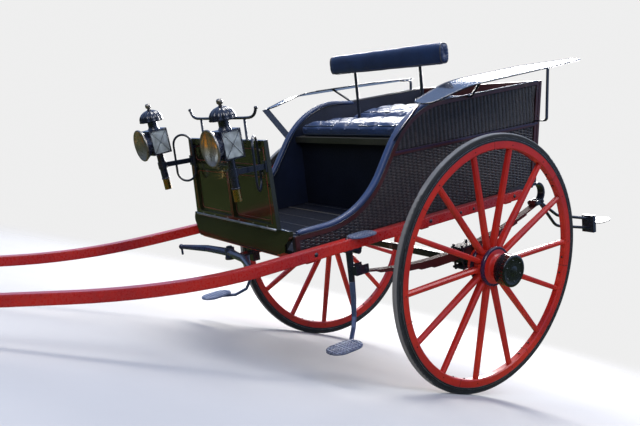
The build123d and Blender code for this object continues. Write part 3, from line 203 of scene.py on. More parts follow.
# One finish: a colour varied towards a deeper one, worn on edges, with a colour on what faces up that is dust, and on
# some finishes also a painted highlight on the tops.
# below gives a height and the metal's colour under it, tread a tyre's running face, ribs the pitch of the painted shade
# that darkens the weave between its columns.
def surface(name, color, deep, worn, dustAndHighlight, grain, rough=0.4, roughSpread=0.2, metal=0.0, coat=0.0, coatRough=0.08,
            bump=0.2, bumpDepth=0.0006, dustAndHighlightShare=0.25, edgeShare=0.7, scale=1.0, sheen=0.0, below=None, spec=0.5,
            tread=None, ribs=0.0, soft=0.0018):
    made, tree, out = emptyMaterial(name)
    shader = node(tree, "BsdfPrincipled", {"Metallic": metal, "Coat Weight": coat, "Coat Roughness": coatRough,
                                           "Sheen Weight": sheen, "Sheen Roughness": 0.4, "Specular IOR Level": spec})
    place = node(tree, "Group", node_tree=levelPlace).outputs[0]
    marks = node(tree, "Group", node_tree=patina)
    relief = node(tree, "Group", node_tree=grains[grain])
    for one in (marks, relief):
        tree.links.new(place, one.inputs["Place"])
        one.inputs["Scale"].default_value = scale
    shade = tinted(tree, marks.outputs["Mottle"], color, deep)
    shade = tinted(tree, times(tree, marks.outputs["Speck"], 0.28), shade, [c * 0.45 for c in color])
    if below:
        height, metalColor = below
        lower = mapped(tree, split(tree, place)[2], height + 0.001, height - 0.001)
        shade = tinted(tree, lower, shade, metalColor)
        tree.links.new(lower, shader.inputs["Metallic"])
    if tread:
        across = split(tree, node(tree, "NewGeometry").outputs["Normal"])[1]
        shade = tinted(tree, mapped(tree, times(tree, across, across), 0.72, 0.30), shade, tread)
    # painted shade: stripes at the weave's pitch darken the wicker between its columns
    if ribs:
        turn = times(tree, times(tree, split(tree, place)[0], -weave["start"], "ADD"), 2 * math.pi / ribs)
        paintedGapShade = mapped(tree, node(tree, "Math", {0: turn}, operation="COSINE").outputs[0], 0.55, -0.65)
        shade = tinted(tree, times(tree, paintedGapShade, 0.85), shade, weave["paintedGapShade"])
    shade = tinted(tree, times(tree, marks.outputs["Edge"], edgeShare), shade, worn)
    # dust on what faces up, on some finishes also a painted highlight on the tops
    shade = tinted(tree, times(tree, marks.outputs["DustAndHighlight"], dustAndHighlightShare), shade, dustAndHighlight)
    tree.links.new(shade, shader.inputs["Base Color"])
    gloss = mapped(tree, marks.outputs["Speck"], 0.0, 1.0, rough, rough + roughSpread)
    gloss = times(tree, gloss, times(tree, marks.outputs["DustAndHighlight"], dustAndHighlightShare * 0.6), "ADD")
    tree.links.new(gloss, shader.inputs["Roughness"])
    rounded = node(tree, "Bevel", {"Radius": soft}, samples=6 if soft > 0.005 else 4)
    bumped = node(tree, "Bump", {"Strength": bump, "Distance": bumpDepth, "Height": relief.outputs["Height"],
                                 "Normal": rounded.outputs[0]})
    tree.links.new(bumped.outputs[0], shader.inputs["Normal"])
    tree.links.new(shader.outputs[0], out.inputs[0])
    return made


lampGlass = {
    "lensClear": 0.12, "paneClear": 0.55, "paintedGlow": 0.8, "amberFrom": 0.765, "amberTo": 0.925,
    "lensFoot": (0.10, 0.12, 0.15, 1), "lensTop": (0.045, 0.018, 0.006, 1),
    # lens colours from foot to top: dark blue-grey and silvery grey are a painted reflection, then amber, darker at the
    # top
    "lensStops": ((0.22, (0.42, 0.47, 0.50, 1)), (0.42, (0.30, 0.26, 0.18, 1)),
                  (0.55, (0.62, 0.27, 0.018, 1)), (0.80, (0.30, 0.11, 0.010, 1))),
    "pane": (0.72, 0.78, 0.78), "paneBloom": (0.40, 0.43, 0.42),
    "lensFront": 1.350,  # the lens stands ahead of this, the panes behind it
}


# the panes are clear with a pale bloom; the lens is amber above and silvery below, where the silvery grey is a painted
# reflection, and it glows with painted light
def glassSurface(name, lens):
    made, tree, out = emptyMaterial(name)
    place = node(tree, "Group", node_tree=levelPlace).outputs[0]
    smear = node(tree, "TexNoise", {"Vector": place, "Scale": 26.0, "Detail": 4.0}).outputs[0]
    glass = node(tree, "BsdfPrincipled", {"IOR": 1.45, "Coat Weight": 0.5, "Coat Roughness": 0.04,
                                          "Transmission Weight": lampGlass["lensClear" if lens else "paneClear"]})
    if lens:
        height = times(tree, split(tree, place)[2], times(tree, smear, 0.02), "ADD")
        amber = node(tree, "ValToRGB", {0: mapped(tree, height, lampGlass["amberFrom"], lampGlass["amberTo"])})
        stops = amber.color_ramp.elements
        stops[0].color = lampGlass["lensFoot"]
        stops[1].color = lampGlass["lensTop"]
        for share, color in lampGlass["lensStops"]:
            stops.new(share).color = color
        tint = amber.outputs[0]
        # painted light: the amber lens glows though the lamp is not lit
        tree.links.new(tint, glass.inputs["Emission Color"])
        glass.inputs["Emission Strength"].default_value = lampGlass["paintedGlow"]
    else:
        tint = tinted(tree, mapped(tree, smear, 0.38, 0.66), lampGlass["pane"], lampGlass["paneBloom"])
    tree.links.new(tint, glass.inputs["Base Color"])
    tree.links.new(mapped(tree, smear, 0.3, 0.8, 0.05, 0.25), glass.inputs["Roughness"])
    wave = node(tree, "Bump", {"Strength": 0.15, "Distance": 0.001, "Height": smear})
    tree.links.new(wave.outputs[0], glass.inputs["Normal"])
    tree.links.new(glass.outputs[0], out.inputs[0])
    return made


paleDust = (0.32, 0.28, 0.24)
# each: name, colour, deeper colour, worn edge, dust colour (on the red paints, the rubber and the leather also a
# painted highlight on the tops), grain
finishes = {
    # the pinkish dust on the tops is partly dust, partly a painted highlight
    "red": surface("red_paint", (0.58, 0.022, 0.007), (0.36, 0.008, 0.010), (0.12, 0.016, 0.014),
                   (0.62, 0.34, 0.34), "brush", rough=0.30, coat=0.30, bump=0.12, dustAndHighlightShare=0.12, edgeShare=0.40,
                   spec=0.35),
    # the pinkish dust on the shaft tops is partly dust, partly a painted highlight
    "shaft": surface("red_shaft_paint", (0.56, 0.020, 0.010), (0.32, 0.008, 0.014), (0.12, 0.016, 0.014),
                     (0.66, 0.36, 0.36), "brush", rough=0.24, roughSpread=0.12, coat=0.45, bump=0.08, dustAndHighlightShare=0.10,
                     edgeShare=0.20, soft=0.011),
    # the pale dust on the tyre's top, at a high share, is partly dust, partly a painted highlight on the top
    "rubber": surface("grey_rubber", (0.036, 0.037, 0.037), (0.020, 0.021, 0.021), (0.12, 0.12, 0.12),
                      (0.72, 0.71, 0.68), "rubber", rough=0.62, bump=0.45, dustAndHighlightShare=0.85, bumpDepth=0.001, spec=0.3,
                      tread=(0.19, 0.18, 0.165)),
    "channel": surface("channel_steel", (0.034, 0.034, 0.036), (0.018, 0.017, 0.017), (0.30, 0.30, 0.30), paleDust,
                       "brush", rough=0.36, metal=0.4, bump=0.2, dustAndHighlightShare=0.2, edgeShare=0.5),
    "lip": surface("channel_lip", (0.50, 0.52, 0.55), (0.12, 0.12, 0.12), (0.6, 0.6, 0.6), paleDust, "brush",
                   rough=0.25, metal=0.8, bump=0.1, dustAndHighlightShare=0.1, scale=2.0),
    "iron": surface("blue_black_iron", (0.008, 0.012, 0.026), (0.004, 0.006, 0.012), (0.10, 0.11, 0.13), paleDust,
                    "brush", rough=0.24, coat=0.4, bump=0.16, dustAndHighlightShare=0.10, edgeShare=0.30),
    "hub": surface("hub_iron", (0.006, 0.010, 0.008), (0.003, 0.004, 0.004), (0.07, 0.07, 0.08), paleDust, "brush",
                   rough=0.14, coat=0.6, bump=0.08, dustAndHighlightShare=0.10, edgeShare=0.30),
    "oxblood": surface("oxblood_iron", (0.085, 0.010, 0.009), (0.035, 0.006, 0.007), (0.14, 0.10, 0.09), paleDust,
                       "brush", rough=0.48, coat=0.1, bump=0.18, dustAndHighlightShare=0.06, edgeShare=0.4, spec=0.3),
    # ribs paints shade between the weave's columns
    "wicker": surface("dark_wicker", (0.030, 0.023, 0.027), (0.016, 0.011, 0.013), (0.07, 0.05, 0.045),
                      (0.10, 0.10, 0.12), "reed", rough=0.30, roughSpread=0.3, coat=0.35, coatRough=0.2, bump=0.5,
                      bumpDepth=0.0008, dustAndHighlightShare=0.15, ribs=weave["pitch"]),
    "brown": surface("red_brown_moulding", (0.062, 0.012, 0.010), (0.028, 0.006, 0.009), (0.12, 0.045, 0.03),
                     paleDust, "wood", rough=0.30, coat=0.25, bump=0.12, dustAndHighlightShare=0.10, edgeShare=0.35, spec=0.4),
    # violet for the middle rail's upper half: a painted sky reflection on the red-brown moulding
    "rail": surface("rail_painted_reflection", (0.030, 0.016, 0.055), (0.016, 0.008, 0.024), (0.09, 0.05, 0.08), paleDust,
                    "wood", rough=0.26, coat=0.4, bump=0.12, dustAndHighlightShare=0.10, edgeShare=0.35, spec=0.4),
    "olive": surface("olive_black_varnish", (0.018, 0.020, 0.007), (0.009, 0.009, 0.004), (0.060, 0.046, 0.030),
                     (0.14, 0.13, 0.10), "wood", rough=0.13, roughSpread=0.10, coat=0.35, coatRough=0.04, bump=0.04,
                     dustAndHighlightShare=0.08, edgeShare=0.30),
    # the leather's blue is deepened in part as a painted sky reflection, and the bluish dust on the tops is partly a
    # painted highlight
    "leather": surface("blue_black_leather", (0.010, 0.036, 0.125), (0.005, 0.014, 0.052), (0.06, 0.07, 0.12),
                       (0.30, 0.32, 0.38), "leather", rough=0.33, roughSpread=0.20, coat=0.25, coatRough=0.25,
                       bump=0.34, dustAndHighlightShare=0.10, edgeShare=0.30, sheen=0.1),
    "lining_hide": surface("side_lining", (0.006, 0.011, 0.034), (0.003, 0.006, 0.016), (0.04, 0.045, 0.08),
                           paleDust, "leather", rough=0.40, coat=0.1, bump=0.3, dustAndHighlightShare=0.12, edgeShare=0.2),
    "patent": surface("patent_leather", (0.005, 0.007, 0.014), (0.003, 0.004, 0.009), (0.07, 0.08, 0.10),
                      (0.30, 0.32, 0.36), "leather", rough=0.12, roughSpread=0.10, coat=0.9, coatRough=0.06,
                      bump=0.05, dustAndHighlightShare=0.10, edgeShare=0.30),
    "japan": surface("black_japan", (0.007, 0.010, 0.024), (0.004, 0.005, 0.013), (0.12, 0.10, 0.08), paleDust,
                     "brush", rough=0.15, coat=0.6, bump=0.08, dustAndHighlightShare=0.10, edgeShare=0.35,
                     below=(0.6285, (0.46, 0.30, 0.09))),
    "steel": surface("step_steel", (0.10, 0.14, 0.27), (0.05, 0.07, 0.13), (0.6, 0.62, 0.66), paleDust, "brush",
                     rough=0.34, metal=0.5, bump=0.2, dustAndHighlightShare=0.10),
    "stud": surface("tread_steel", (0.34, 0.40, 0.56), (0.16, 0.20, 0.32), (0.7, 0.72, 0.76), paleDust, "brush",
                    rough=0.28, metal=0.6, bump=0.2, dustAndHighlightShare=0.10),
    "silver": surface("plated_steel", (0.40, 0.37, 0.33), (0.20, 0.17, 0.14), (0.6, 0.6, 0.6), paleDust, "brush",
                      rough=0.24, metal=0.9, bump=0.08, dustAndHighlightShare=0.1),
    "floor": surface("floor_board", (0.006, 0.008, 0.016), (0.003, 0.004, 0.008), (0.05, 0.045, 0.04),
                     (0.06, 0.06, 0.07), "wood", rough=0.50, coat=0.0, bump=0.35, dustAndHighlightShare=0.12, edgeShare=0.4,
                     spec=0.15),
    "board": surface("seat_edge", (0.030, 0.029, 0.020), (0.014, 0.013, 0.009), (0.09, 0.08, 0.06), paleDust,
                     "wood", rough=0.35, coat=0.2, bump=0.2, dustAndHighlightShare=0.1, edgeShare=0.4),
    "blue": surface("dark_blue_paint", (0.010, 0.018, 0.062), (0.005, 0.008, 0.028), (0.08, 0.09, 0.12), paleDust,
                    "brush", rough=0.22, coat=0.6, bump=0.1, dustAndHighlightShare=0.15),
    "lining": surface("red_lining", (0.30, 0.026, 0.014), (0.16, 0.016, 0.010), (0.10, 0.04, 0.03), paleDust,
                      "brush", rough=0.3, coat=0.2, bump=0.05),
    "gap": surface("joint_shadow", (0.060, 0.006, 0.005), (0.030, 0.004, 0.004), (0.06, 0.02, 0.02), paleDust,
                   "brush", rough=0.6, bump=0.05),
    "violet": surface("hub_band", (0.038, 0.012, 0.055), (0.016, 0.006, 0.026), (0.12, 0.10, 0.14), paleDust,
                      "brush", rough=0.22, coat=0.5, bump=0.08, edgeShare=0.35),
    "pipe": surface("grey_piping", (0.085, 0.085, 0.095), (0.035, 0.035, 0.045), (0.2, 0.2, 0.2), paleDust,
                    "leather", rough=0.35, coat=0.1, bump=0.2),
    "glass": glassSurface("lamp_pane", False),
    "lens": glassSurface("lamp_lens", True),
}
painted = {
    "shaft": "shaft_left shaft_right",
    "red": "wheel_left_felloes wheel_right_felloes wheel_left_spokes wheel_right_spokes "
           "wheel_left_nave wheel_right_nave crossbars",
    "rubber": "wheel_left_tyre wheel_right_tyre",
    "channel": "wheel_left_channel wheel_right_channel",
    "iron": "axle axle_clips spring_hangers_front spring_hangers_rear rein_rail dash_loops backrest_irons "
            "lamp_brackets swingletree_bracket wing_stays_left wing_stays_right tail_hinges rear_step",
    "hub": "wheel_left_cap wheel_right_cap",
    "oxblood": "spring_left spring_right",
    "wicker": "side_panel_left side_panel_right",
    "brown": "side_frame_left side_frame_right tailboard",
    "olive": "dashboard toe_board",
    "patent": "wing_left wing_right",
    "japan": "lamp_case_left lamp_case_right",
    "glass": "lamp_glass_left lamp_glass_right",
    "steel": "front_step_left front_step_right shaft_steps",
    "floor": "floor heel_board",
    "board": "seat_board",
    "blue": "swingletree",
    "violet": "wheel_left_bands wheel_right_bands",
}
for finish, names in painted.items():
    for name in names.split():
        mesh = nodes[name].data
        mesh.materials.clear()
        mesh.materials.append(finishes[finish])
        if finish == "glass":
            mesh.materials.append(finishes["lens"])
            for face in mesh.polygons:
                face.material_index = 1 if (toLevel @ face.center).x > lampGlass["lensFront"] else 0
print("materials", len(finishes))


# an object from a mesh drawn in its body's own place, set in the row and given to its body
def piece(name, mesh, finish, body="carriage", smooth=True, place=toRow):
    mesh.name = name
    mesh.transform(place)
    mesh.update()
    made = bpy.data.objects.new(name, mesh)
    bpy.context.scene.collection.objects.link(made)
    mesh.materials.append(finishes[finish])
    if smooth:
        mesh.shade_smooth()
    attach(made, body)
    return made


def meshOf(points, faces):
    mesh = bpy.data.meshes.new("shape")
    mesh.from_pydata([tuple(p) for p in points], [], faces)
    mesh.validate()
    return mesh


# faces between two rings of points that start at a and b, and a ring's own face
def band(a, b, sides):
    return [(a + k, a + (k + 1) % sides, b + (k + 1) % sides, b + k) for k in range(sides)]


def disc(a, sides):
    return tuple(range(a, a + sides))


# a power that keeps the sign, for ovals with full corners
def full(value, power):
    return abs(value) ** power * (1 if value > 0 else -1)


# points of a circle across a direction
def ring(center, along, radius, sides, up=Vector((0, 0, 1))):
    beside = along.cross(up)
    if beside.length < 1e-6:
        beside = along.cross(Vector((1, 0, 0)))
    beside.normalize()
    high = beside.cross(along).normalized()
    turns = [2 * math.pi * k / sides for k in range(sides)]
    return [center + beside * (radius * math.cos(turn)) + high * (radius * math.sin(turn)) for turn in turns]


# one mesh of round tubes, each a list of points, a radius or one for each point, and whether it is a loop
def tubes(runs, sides=8):
    points = []
    faces = []
    for path, radius, closed in runs:
        path = [Vector(p) for p in path]
        count = len(path)
        first = len(points)
        for i, p in enumerate(path):
            before = path[i - 1] if i or closed else path[i]
            after = path[(i + 1) % count] if i < count - 1 or closed else path[i]
            size = radius[i] if isinstance(radius, (list, tuple)) else radius
            points += ring(p, (after - before).normalized(), size, sides)
        for i in range(count if closed else count - 1):
            faces += band(first + i * sides, first + (i + 1) % count * sides, sides)
        if not closed:
            faces.append(disc(first, sides)[::-1])
            faces.append(disc(first + (count - 1) * sides, sides))
    return meshOf(points, faces)


# one mesh of small bars, each with its centre, half sizes, pitch and yaw
def boxes(table):
    points = []
    faces = []
    for center, half, pitch, yaw in table:
        turn = Matrix.Rotation(yaw, 3, "Z") @ Matrix.Rotation(pitch, 3, "Y")
        first = len(points)
        for sx in (-1, 1):
            for sy in (-1, 1):
                for sz in (-1, 1):
                    points.append(Vector(center) + turn @ Vector((sx * half[0], sy * half[1], sz * half[2])))
        for quad in ((0, 1, 3, 2), (4, 6, 7, 5), (0, 4, 5, 1), (2, 3, 7, 6), (0, 2, 6, 4), (1, 5, 7, 3)):
            faces.append(tuple(first + k for k in quad))
    return meshOf(points, faces)


# a turned shape from radius and height, with lobes if asked
def lathe(profile, sides, center=(0, 0, 0), turn=None, lobes=0, lobeDepth=0.0):
    points = []
    faces = []
    turn = turn or Matrix.Identity(3)
    for r, z in profile:
        for k in range(sides):
            angle = 2 * math.pi * k / sides
            size = r * (1 + lobeDepth * (abs(math.sin(lobes * angle / 2)) - 0.6)) if lobes else r
            points.append(Vector(center) + turn @ Vector((size * math.cos(angle), size * math.sin(angle), z)))
    last = (len(profile) - 1) * sides
    for a in range(0, last, sides):
        faces += band(a, a + sides, sides)
    faces.append(disc(0, sides)[::-1])
    faces.append(disc(last, sides))
    return meshOf(points, faces)


# domed bolt heads on one mesh, each with its place, outward direction and radius
def heads(table, sides=10):
    points = []
    faces = []
    dome = ((1.25, 0.0), (1.25, 0.16), (1.0, 0.2), (0.92, 0.5), (0.55, 0.78))
    for center, out, radius in table:
        out = Vector(out).normalized()
        first = len(points)
        for share, rise in dome:
            points += ring(Vector(center) + out * (rise * radius), out, radius * share, sides,
                           Vector((0.3, 0.2, 0.93)))
        last = first + (len(dome) - 1) * sides
        for a in range(first, last, sides):
            faces += band(a, a + sides, sides)
        faces.append(disc(last, sides))
    return meshOf(points, faces)


side = {
    "tailLow": -0.664, "tailHigh": -0.768, "low": 0.282, "high": 0.905, "front": 1.062,
    "lean": 0.104, "tall": 0.623,  # how far the tail end leans back over its height
    "drop": 0.031, "run": 1.052,  # the top rail's fall towards the front
    "upper": (0.037, 0.411, 0.470), "lower": (0.885, 0.841, 0.470),  # middles and radii of the swoop's two arcs
    "straightTop": 0.684, "straightLow": 0.568, "straightX": 0.419, "straightRun": 0.083, "straightRise": 0.116,
    "sill": 0.371, "swoopStart": 0.051, "frame": 0.021, "railLow": 0.645, "railHigh": 0.665, "face": 0.485,
    "liningY": 0.4622, "liningLow": 0.304, "liningRows": 12, "liningFrom": -0.745, "liningTo": 1.05,
    "liningStep": 0.025,
}
roll = {"middle": 0.474, "half": 0.0195, "rise": 0.0125, "sides": 20, "seam": 0.0016, "seamY": (0.4945, 0.4535),
        "seamLift": 0.004}
trim = {"weltY": 0.4925, "welt": 0.0042, "weltFrom": -0.755, "weltApart": 0.05, "weltPoints": 16,
        "stripY": 0.4938, "stripZ": 0.6602, "strip": (0.0102, 0.0012, 0.0046), "stripFrom": -0.722, "stripTo": 0.40,
        "stripApart": 0.020}


def tailX(z):
    return side["tailLow"] + (z - side["low"]) / (side["high"] - side["low"]) * (side["tailHigh"] - side["tailLow"])


def topZ(x):
    return side["high"] - (x - side["tailHigh"]) * side["drop"] / side["run"]


# how low the side reaches beside its leaning tail end
def footZ(x, margin, inset):
    if x < side["tailLow"] + margin:
        return side["low"] + (side["tailLow"] - x + inset) / side["lean"] * side["tall"]
    return side["low"]


# where the swoop ends at a height
def frontX(z):
    cx, cz, r = side["upper"]
    dx, dz, q = side["lower"]
    if z > side["straightTop"]:
        return cx + math.sqrt(max(0.0, r * r - (z - cz) ** 2))
    if z > side["straightLow"]:
        return side["straightX"] + (side["straightTop"] - z) * side["straightRun"] / side["straightRise"]
    if z > side["sill"]:
        return dx - math.sqrt(max(0.0, q * q - (z - dz) ** 2))
    return side["front"]


# height of the side's edge at a place along it
def swoopZ(x):
    low, high = side["low"], topZ(x)
    if x < side["swoopStart"]:
        return high
    for _ in range(30):
        mid = (low + high) / 2
        if frontX(mid) > x:
            low = mid
        else:
            high = mid
    return low


# upright stakes in pairs, with weavers passing in front of them and behind them in turn
def wickerSide(flip):
    points = []
    faces = []
    inset = side["frame"]
    x = weave["start"]
    while x < weave["end"]:
        top = min(topZ(x), swoopZ(x)) - inset
        low = max(side["low"] + inset, footZ(x, 0.02, inset))
        for a, b in ((low, side["railLow"]), (side["railHigh"], top)):
            b = min(b, top)
            if b - a <= 0.02:
                continue
            for shift in (-weave["stakeApart"], weave["stakeApart"]):
                first = len(points)
                for z in (a, b):
                    for k in range(5):
                        angle = math.pi * k / 4
                        y = side["face"] + weave["stakeRise"] * math.sin(angle) + 0.0004
                        points.append((x + shift + weave["stake"] * math.cos(angle), flip * y, z))
                for k in range(4):
                    faces.append((first + k, first + k + 1, first + 6 + k, first + 5 + k))
        x += weave["pitch"]
    row = 0
    z = side["low"] + inset + 0.004
    while z < side["high"] - inset:
        if not side["railLow"] - 0.003 < z < side["railHigh"] + 0.003:
            left = tailX(z) + inset
            right = frontX(z) - inset - 0.002
            if z > topZ(left) - inset:
                left = right
            while z > topZ(right) - inset + 0.002 and right > left:
                right -= 0.01
            steps = int((right - left) / weave["step"])
            first = len(points)
            twined = z > side["railHigh"]  # above the middle rail the weavers stand in columns
            for i in range(steps + 1):
                px = left + (right - left) * i / max(1, steps)
                turn = math.pi * (px - weave["start"]) / weave["pitch"]
                wave = math.cos(2 * turn) if twined else math.cos(turn + math.pi * row)
                slant = 0.0011 * math.sin(2 * turn) if twined else 0.0
                y = side["face"] + weave["depth"] + weave["depth"] * wave
                for dz, dy in ((-weave["reed"], -0.0016), (0.0, 0.0014), (weave["reed"], -0.0016)):
                    points.append((px, flip * (y + dy), z + dz + slant + 0.0004 * math.sin(px * 31 + row * 1.7)))
            for i in range(steps):
                a = first + i * 3
                for k in range(2):
                    faces.append((a + k, a + k + 3, a + k + 4, a + k + 1))
        row += 1
        z += weave["row"]
    if flip < 0:
        faces = [f[::-1] for f in faces]
    return meshOf(points, faces)


# points along the swoop's edge from the top rail to the front, moved outwards by a lift
def swoopPath(lift, start=-0.126, step=0.02):
    path = []
    x = start
    while x < side["swoopStart"]:
        path.append((x, topZ(x) + lift * min(1.0, max(-0.8, (x - start) / 0.17 * 1.8 - 0.8))))
        x += step
    cx, cz, r = side["upper"]
    for k in range(19):
        angle = math.radians(88.3 - 53.5 * k / 18)
        path.append((cx + (r + lift) * math.cos(angle), cz + (r + lift) * math.sin(angle)))
    dx, dz, q = side["lower"]
    for k in range(19):
        angle = math.radians(215.5 + 54.5 * k / 18)
        path.append((dx + (q - lift) * math.cos(angle), dz + (q - lift) * math.sin(angle)))
    x = 0.90
    while x < 1.05:
        path.append((x, side["sill"] + lift))
        x += step
    return path


# the stuffed roll on the swoop: full and round outside, flat where it beds on the board
def rolledEdge(flip):
    sides = roll["sides"]
    path = swoopPath(roll["rise"])
    points = []
    faces = []
    for i, (x, z) in enumerate(path):
        a = path[max(0, i - 1)]
        b = path[min(len(path) - 1, i + 1)]
        run = Vector((b[0] - a[0], 0, b[1] - a[1])).normalized()
        out = Vector((-run.z, 0, run.x))
        if out.z < 0 and out.x < 0:
            out = -out
        toEnd = min(i, len(path) - 1 - i)
        grow = {0: 0.55, 1: 0.88}.get(toEnd, 1.0)
        grow *= 1.0 + 0.018 * math.sin(i * 1.9) + 0.012 * math.sin(i * 0.77 + 1)
        for k in range(sides):
            angle = 2 * math.pi * k / sides
            c, s = math.cos(angle), math.sin(angle)
            wide = roll["half"] * full(c, 0.75)
            high = roll["rise"] * full(s, 0.85 if s > 0 else 0.45)
            spot = Vector((x, 0, z)) + out * (high * grow)
            points.append((spot.x, flip * (roll["middle"] + wide * min(1.0, grow)), spot.z))
    last = (len(path) - 1) * sides
    for a in range(0, last, sides):
        faces += [quad if flip > 0 else quad[::-1] for quad in band(a, a + sides, sides)]
    faces.append(disc(0, sides))
    faces.append(disc(last, sides)[::-1])
    return meshOf(points, faces)


# the leather on the side's inner face
def sideLining(flip):
    points = []
    faces = []
    rows = side["liningRows"]
    x = side["liningFrom"]
    while x < side["liningTo"]:
        top = min(topZ(x), swoopZ(x)) - 0.006
        low = max(side["liningLow"], footZ(x, 0.01, 0.012))
        if top > low:
            for k in range(rows + 1):
                z = low + (top - low) * k / rows
                points.append((x, flip * (side["liningY"] + 0.0004 * math.sin(x * 40) * math.sin(z * 30)), z))
        x += side["liningStep"]
    for i in range(len(points) // (rows + 1) - 1):
        for k in range(rows):
            a = i * (rows + 1) + k
            quad = (a, a + 1, a + rows + 2, a + rows + 1)
            faces.append(quad if flip < 0 else quad[::-1])
    return meshOf(points, faces)


for label, flip in bothSides:
    piece("wicker_" + label, wickerSide(flip), "wicker")
    edge = piece("roll_" + label, rolledEdge(flip), "leather")
    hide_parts("edge_roll_" + label)
    seams = [([(x, flip * y, z) for x, z in swoopPath(roll["seamLift"])][4:], roll["seam"], False)
             for y in roll["seamY"]]
    piece("roll_seam_" + label, tubes(seams, 6), "patent")
    places = [trim["weltFrom"] + trim["weltApart"] * k for k in range(trim["weltPoints"])]
    welt = [(x, flip * trim["weltY"], topZ(x) + 0.0015) for x in places]
    piece("top_welt_" + label, tubes([(welt, trim["welt"], False)]), "patent")
    # a violet strip on the upper half of the middle rail: a painted sky reflection on the red-brown moulding
    strip = []
    x = trim["stripFrom"]
    while x < trim["stripTo"]:
        strip.append(((x, flip * trim["stripY"], trim["stripZ"]), trim["strip"], 0.0, 0.0))
        x += trim["stripApart"]
    piece("mid_strip_" + label, boxes(strip), "rail", smooth=False)
    piece("side_lining_" + label, sideLining(flip), "lining_hide")

tailSpots = [toLevel @ v.co for v in nodes["tailboard"].data.vertices]
slope = Vector((-side["tall"], 0, -side["lean"])).normalized()
reach = [(p - Vector((side["tailLow"], 0, side["low"]))).dot(slope) for p in tailSpots]
tail = {"half": max(p.y for p in tailSpots) - 0.048, "low": 0.052, "high": 0.575, "sunk": max(reach) - 0.0042}


# the same weave, lower, on the tailboard's outer face inside its frame
def wickerTail():
    points = []
    faces = []
    lean = math.atan2(side["lean"], side["tall"])
    up = Vector((-math.sin(lean), 0, math.cos(lean)))
    out = Vector((-math.cos(lean), 0, -math.sin(lean)))
    foot = Vector((side["tailLow"], 0, side["low"])) + out * tail["sunk"]
    row = 0
    rise = tail["low"]
    while rise < tail["high"]:
        steps = int(2 * tail["half"] / weave["step"])
        first = len(points)
        for i in range(steps + 1):
            y = -tail["half"] + 2 * tail["half"] * i / steps
            wave = math.cos(math.pi * (y + tail["half"]) / weave["pitch"] + math.pi * row)
            for shift, dip in ((-weave["reed"], -0.0009), (0.0, 0.0007), (weave["reed"], -0.0009)):
                points.append(foot + up * (rise + shift) + out * (0.0012 + 0.0010 * wave + dip) + Vector((0, y, 0)))
        for i in range(steps):
            a = first + i * 3
            for k in range(2):
                faces.append((a + k, a + k + 1, a + k + 4, a + k + 3))
        row += 1
        rise += weave["row"]
    return meshOf(points, faces)


piece("wicker_tail", wickerTail(), "wicker", body="tailboard")
print("sides made", {k: round(v, 4) for k, v in tail.items()})

wing = {"start": 0.14, "tip": 0.440, "back": 0.040, "lip": 0.0042, "lipDrop": 0.0022, "sharp": 50}


# pairs of points along the skin's upper rim
def rimEdges(mesh):
    shape = bmesh.new()
    shape.from_mesh(mesh)
    bmesh.ops.remove_doubles(shape, verts=shape.verts, dist=0.00005)
    rims = []
    for edge in shape.edges:
        if len(edge.link_faces) == 2 and edge.calc_face_angle(0) > math.radians(wing["sharp"]):
            if max(f.normal.z for f in edge.link_faces) > 0.7:
                rims.append((edge.verts[0].index, edge.verts[1].index))
    shape.verts.ensure_lookup_table()
    spots = [v.co.copy() for v in shape.verts]
    shape.free()
    return rims, spots


# the leather over a wing's plate, drawn back at the front, with a rolled edge all round
def wingSkin(label):
    mesh = nodes["wing_" + label].data.copy()
    mesh.materials.clear()
    mesh.transform(toLevel)
    for v in mesh.vertices:
        share = max(0.0, min(1.0, (v.co.x - wing["start"]) / (wing["tip"] - wing["start"])))
        v.co.x -= wing["back"] * share * share * (3 - 2 * share)
    made = piece("wing_skin_" + label, mesh, "patent", smooth=False)
    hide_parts("wing_" + label)
    rims, spots = rimEdges(made.data)
    beside = {}
    for a, b in rims:
        beside.setdefault(a, []).append(b)
        beside.setdefault(b, []).append(a)
    runs = []
    left = set(beside)
    while left:
        start = min(left)
        chain = [start]
        left.discard(start)
        while True:
            onward = [n for n in beside[chain[-1]] if n in left]
            if not onward:
                break
            chain.append(onward[0])
            left.discard(onward[0])
        if len(chain) > 2:
            path = [spots[i] - Vector((0, 0, wing["lipDrop"])) for i in chain]
            runs.append((path, wing["lip"], start in beside[chain[-1]]))
    if runs:
        piece("wing_lip_" + label, tubes(runs), "patent", place=unmoved)


for label, flip in bothSides:
    wingSkin(label)
print("wings made")

cushions = {
    "front": {"back": 0.006, "front": 0.358, "thick": 0.080, "cap": 0.016, "rows": (0.300, 0.232, 0.164, 0.096)},
    "rear": {"back": -0.450, "front": -0.038, "thick": 0.108, "cap": 0.018,
             "rows": (-0.110, -0.180, -0.250, -0.320, -0.390)},
}
seat = {"top": 0.7226, "half": 0.447, "voxel": 0.007, "buttonApart": 0.128, "frontStudApart": 0.125,
        "button": 0.0070, "frontStud": 0.0065, "welt": 0.0036}
cloth = {"pressure": 4.0, "quality": 4, "frames": 20}
tuft = {
    "dent": ((0.010, 0.016), (0.006, 0.034)), "fold": ((0.0062, 0.007), (0.003, 0.018)),  # depths and widths
    "near": 0.05, "far": 0.09, "aside": 0.08, "edgeFold": 0.06, "crown": 0.026, "spread": 0.006,
    "satFrom": 0.26, "satRun": 0.20, "satDrop": 0.026, "satRise": 0.03,  # the rear cushion is sat down at its front
}


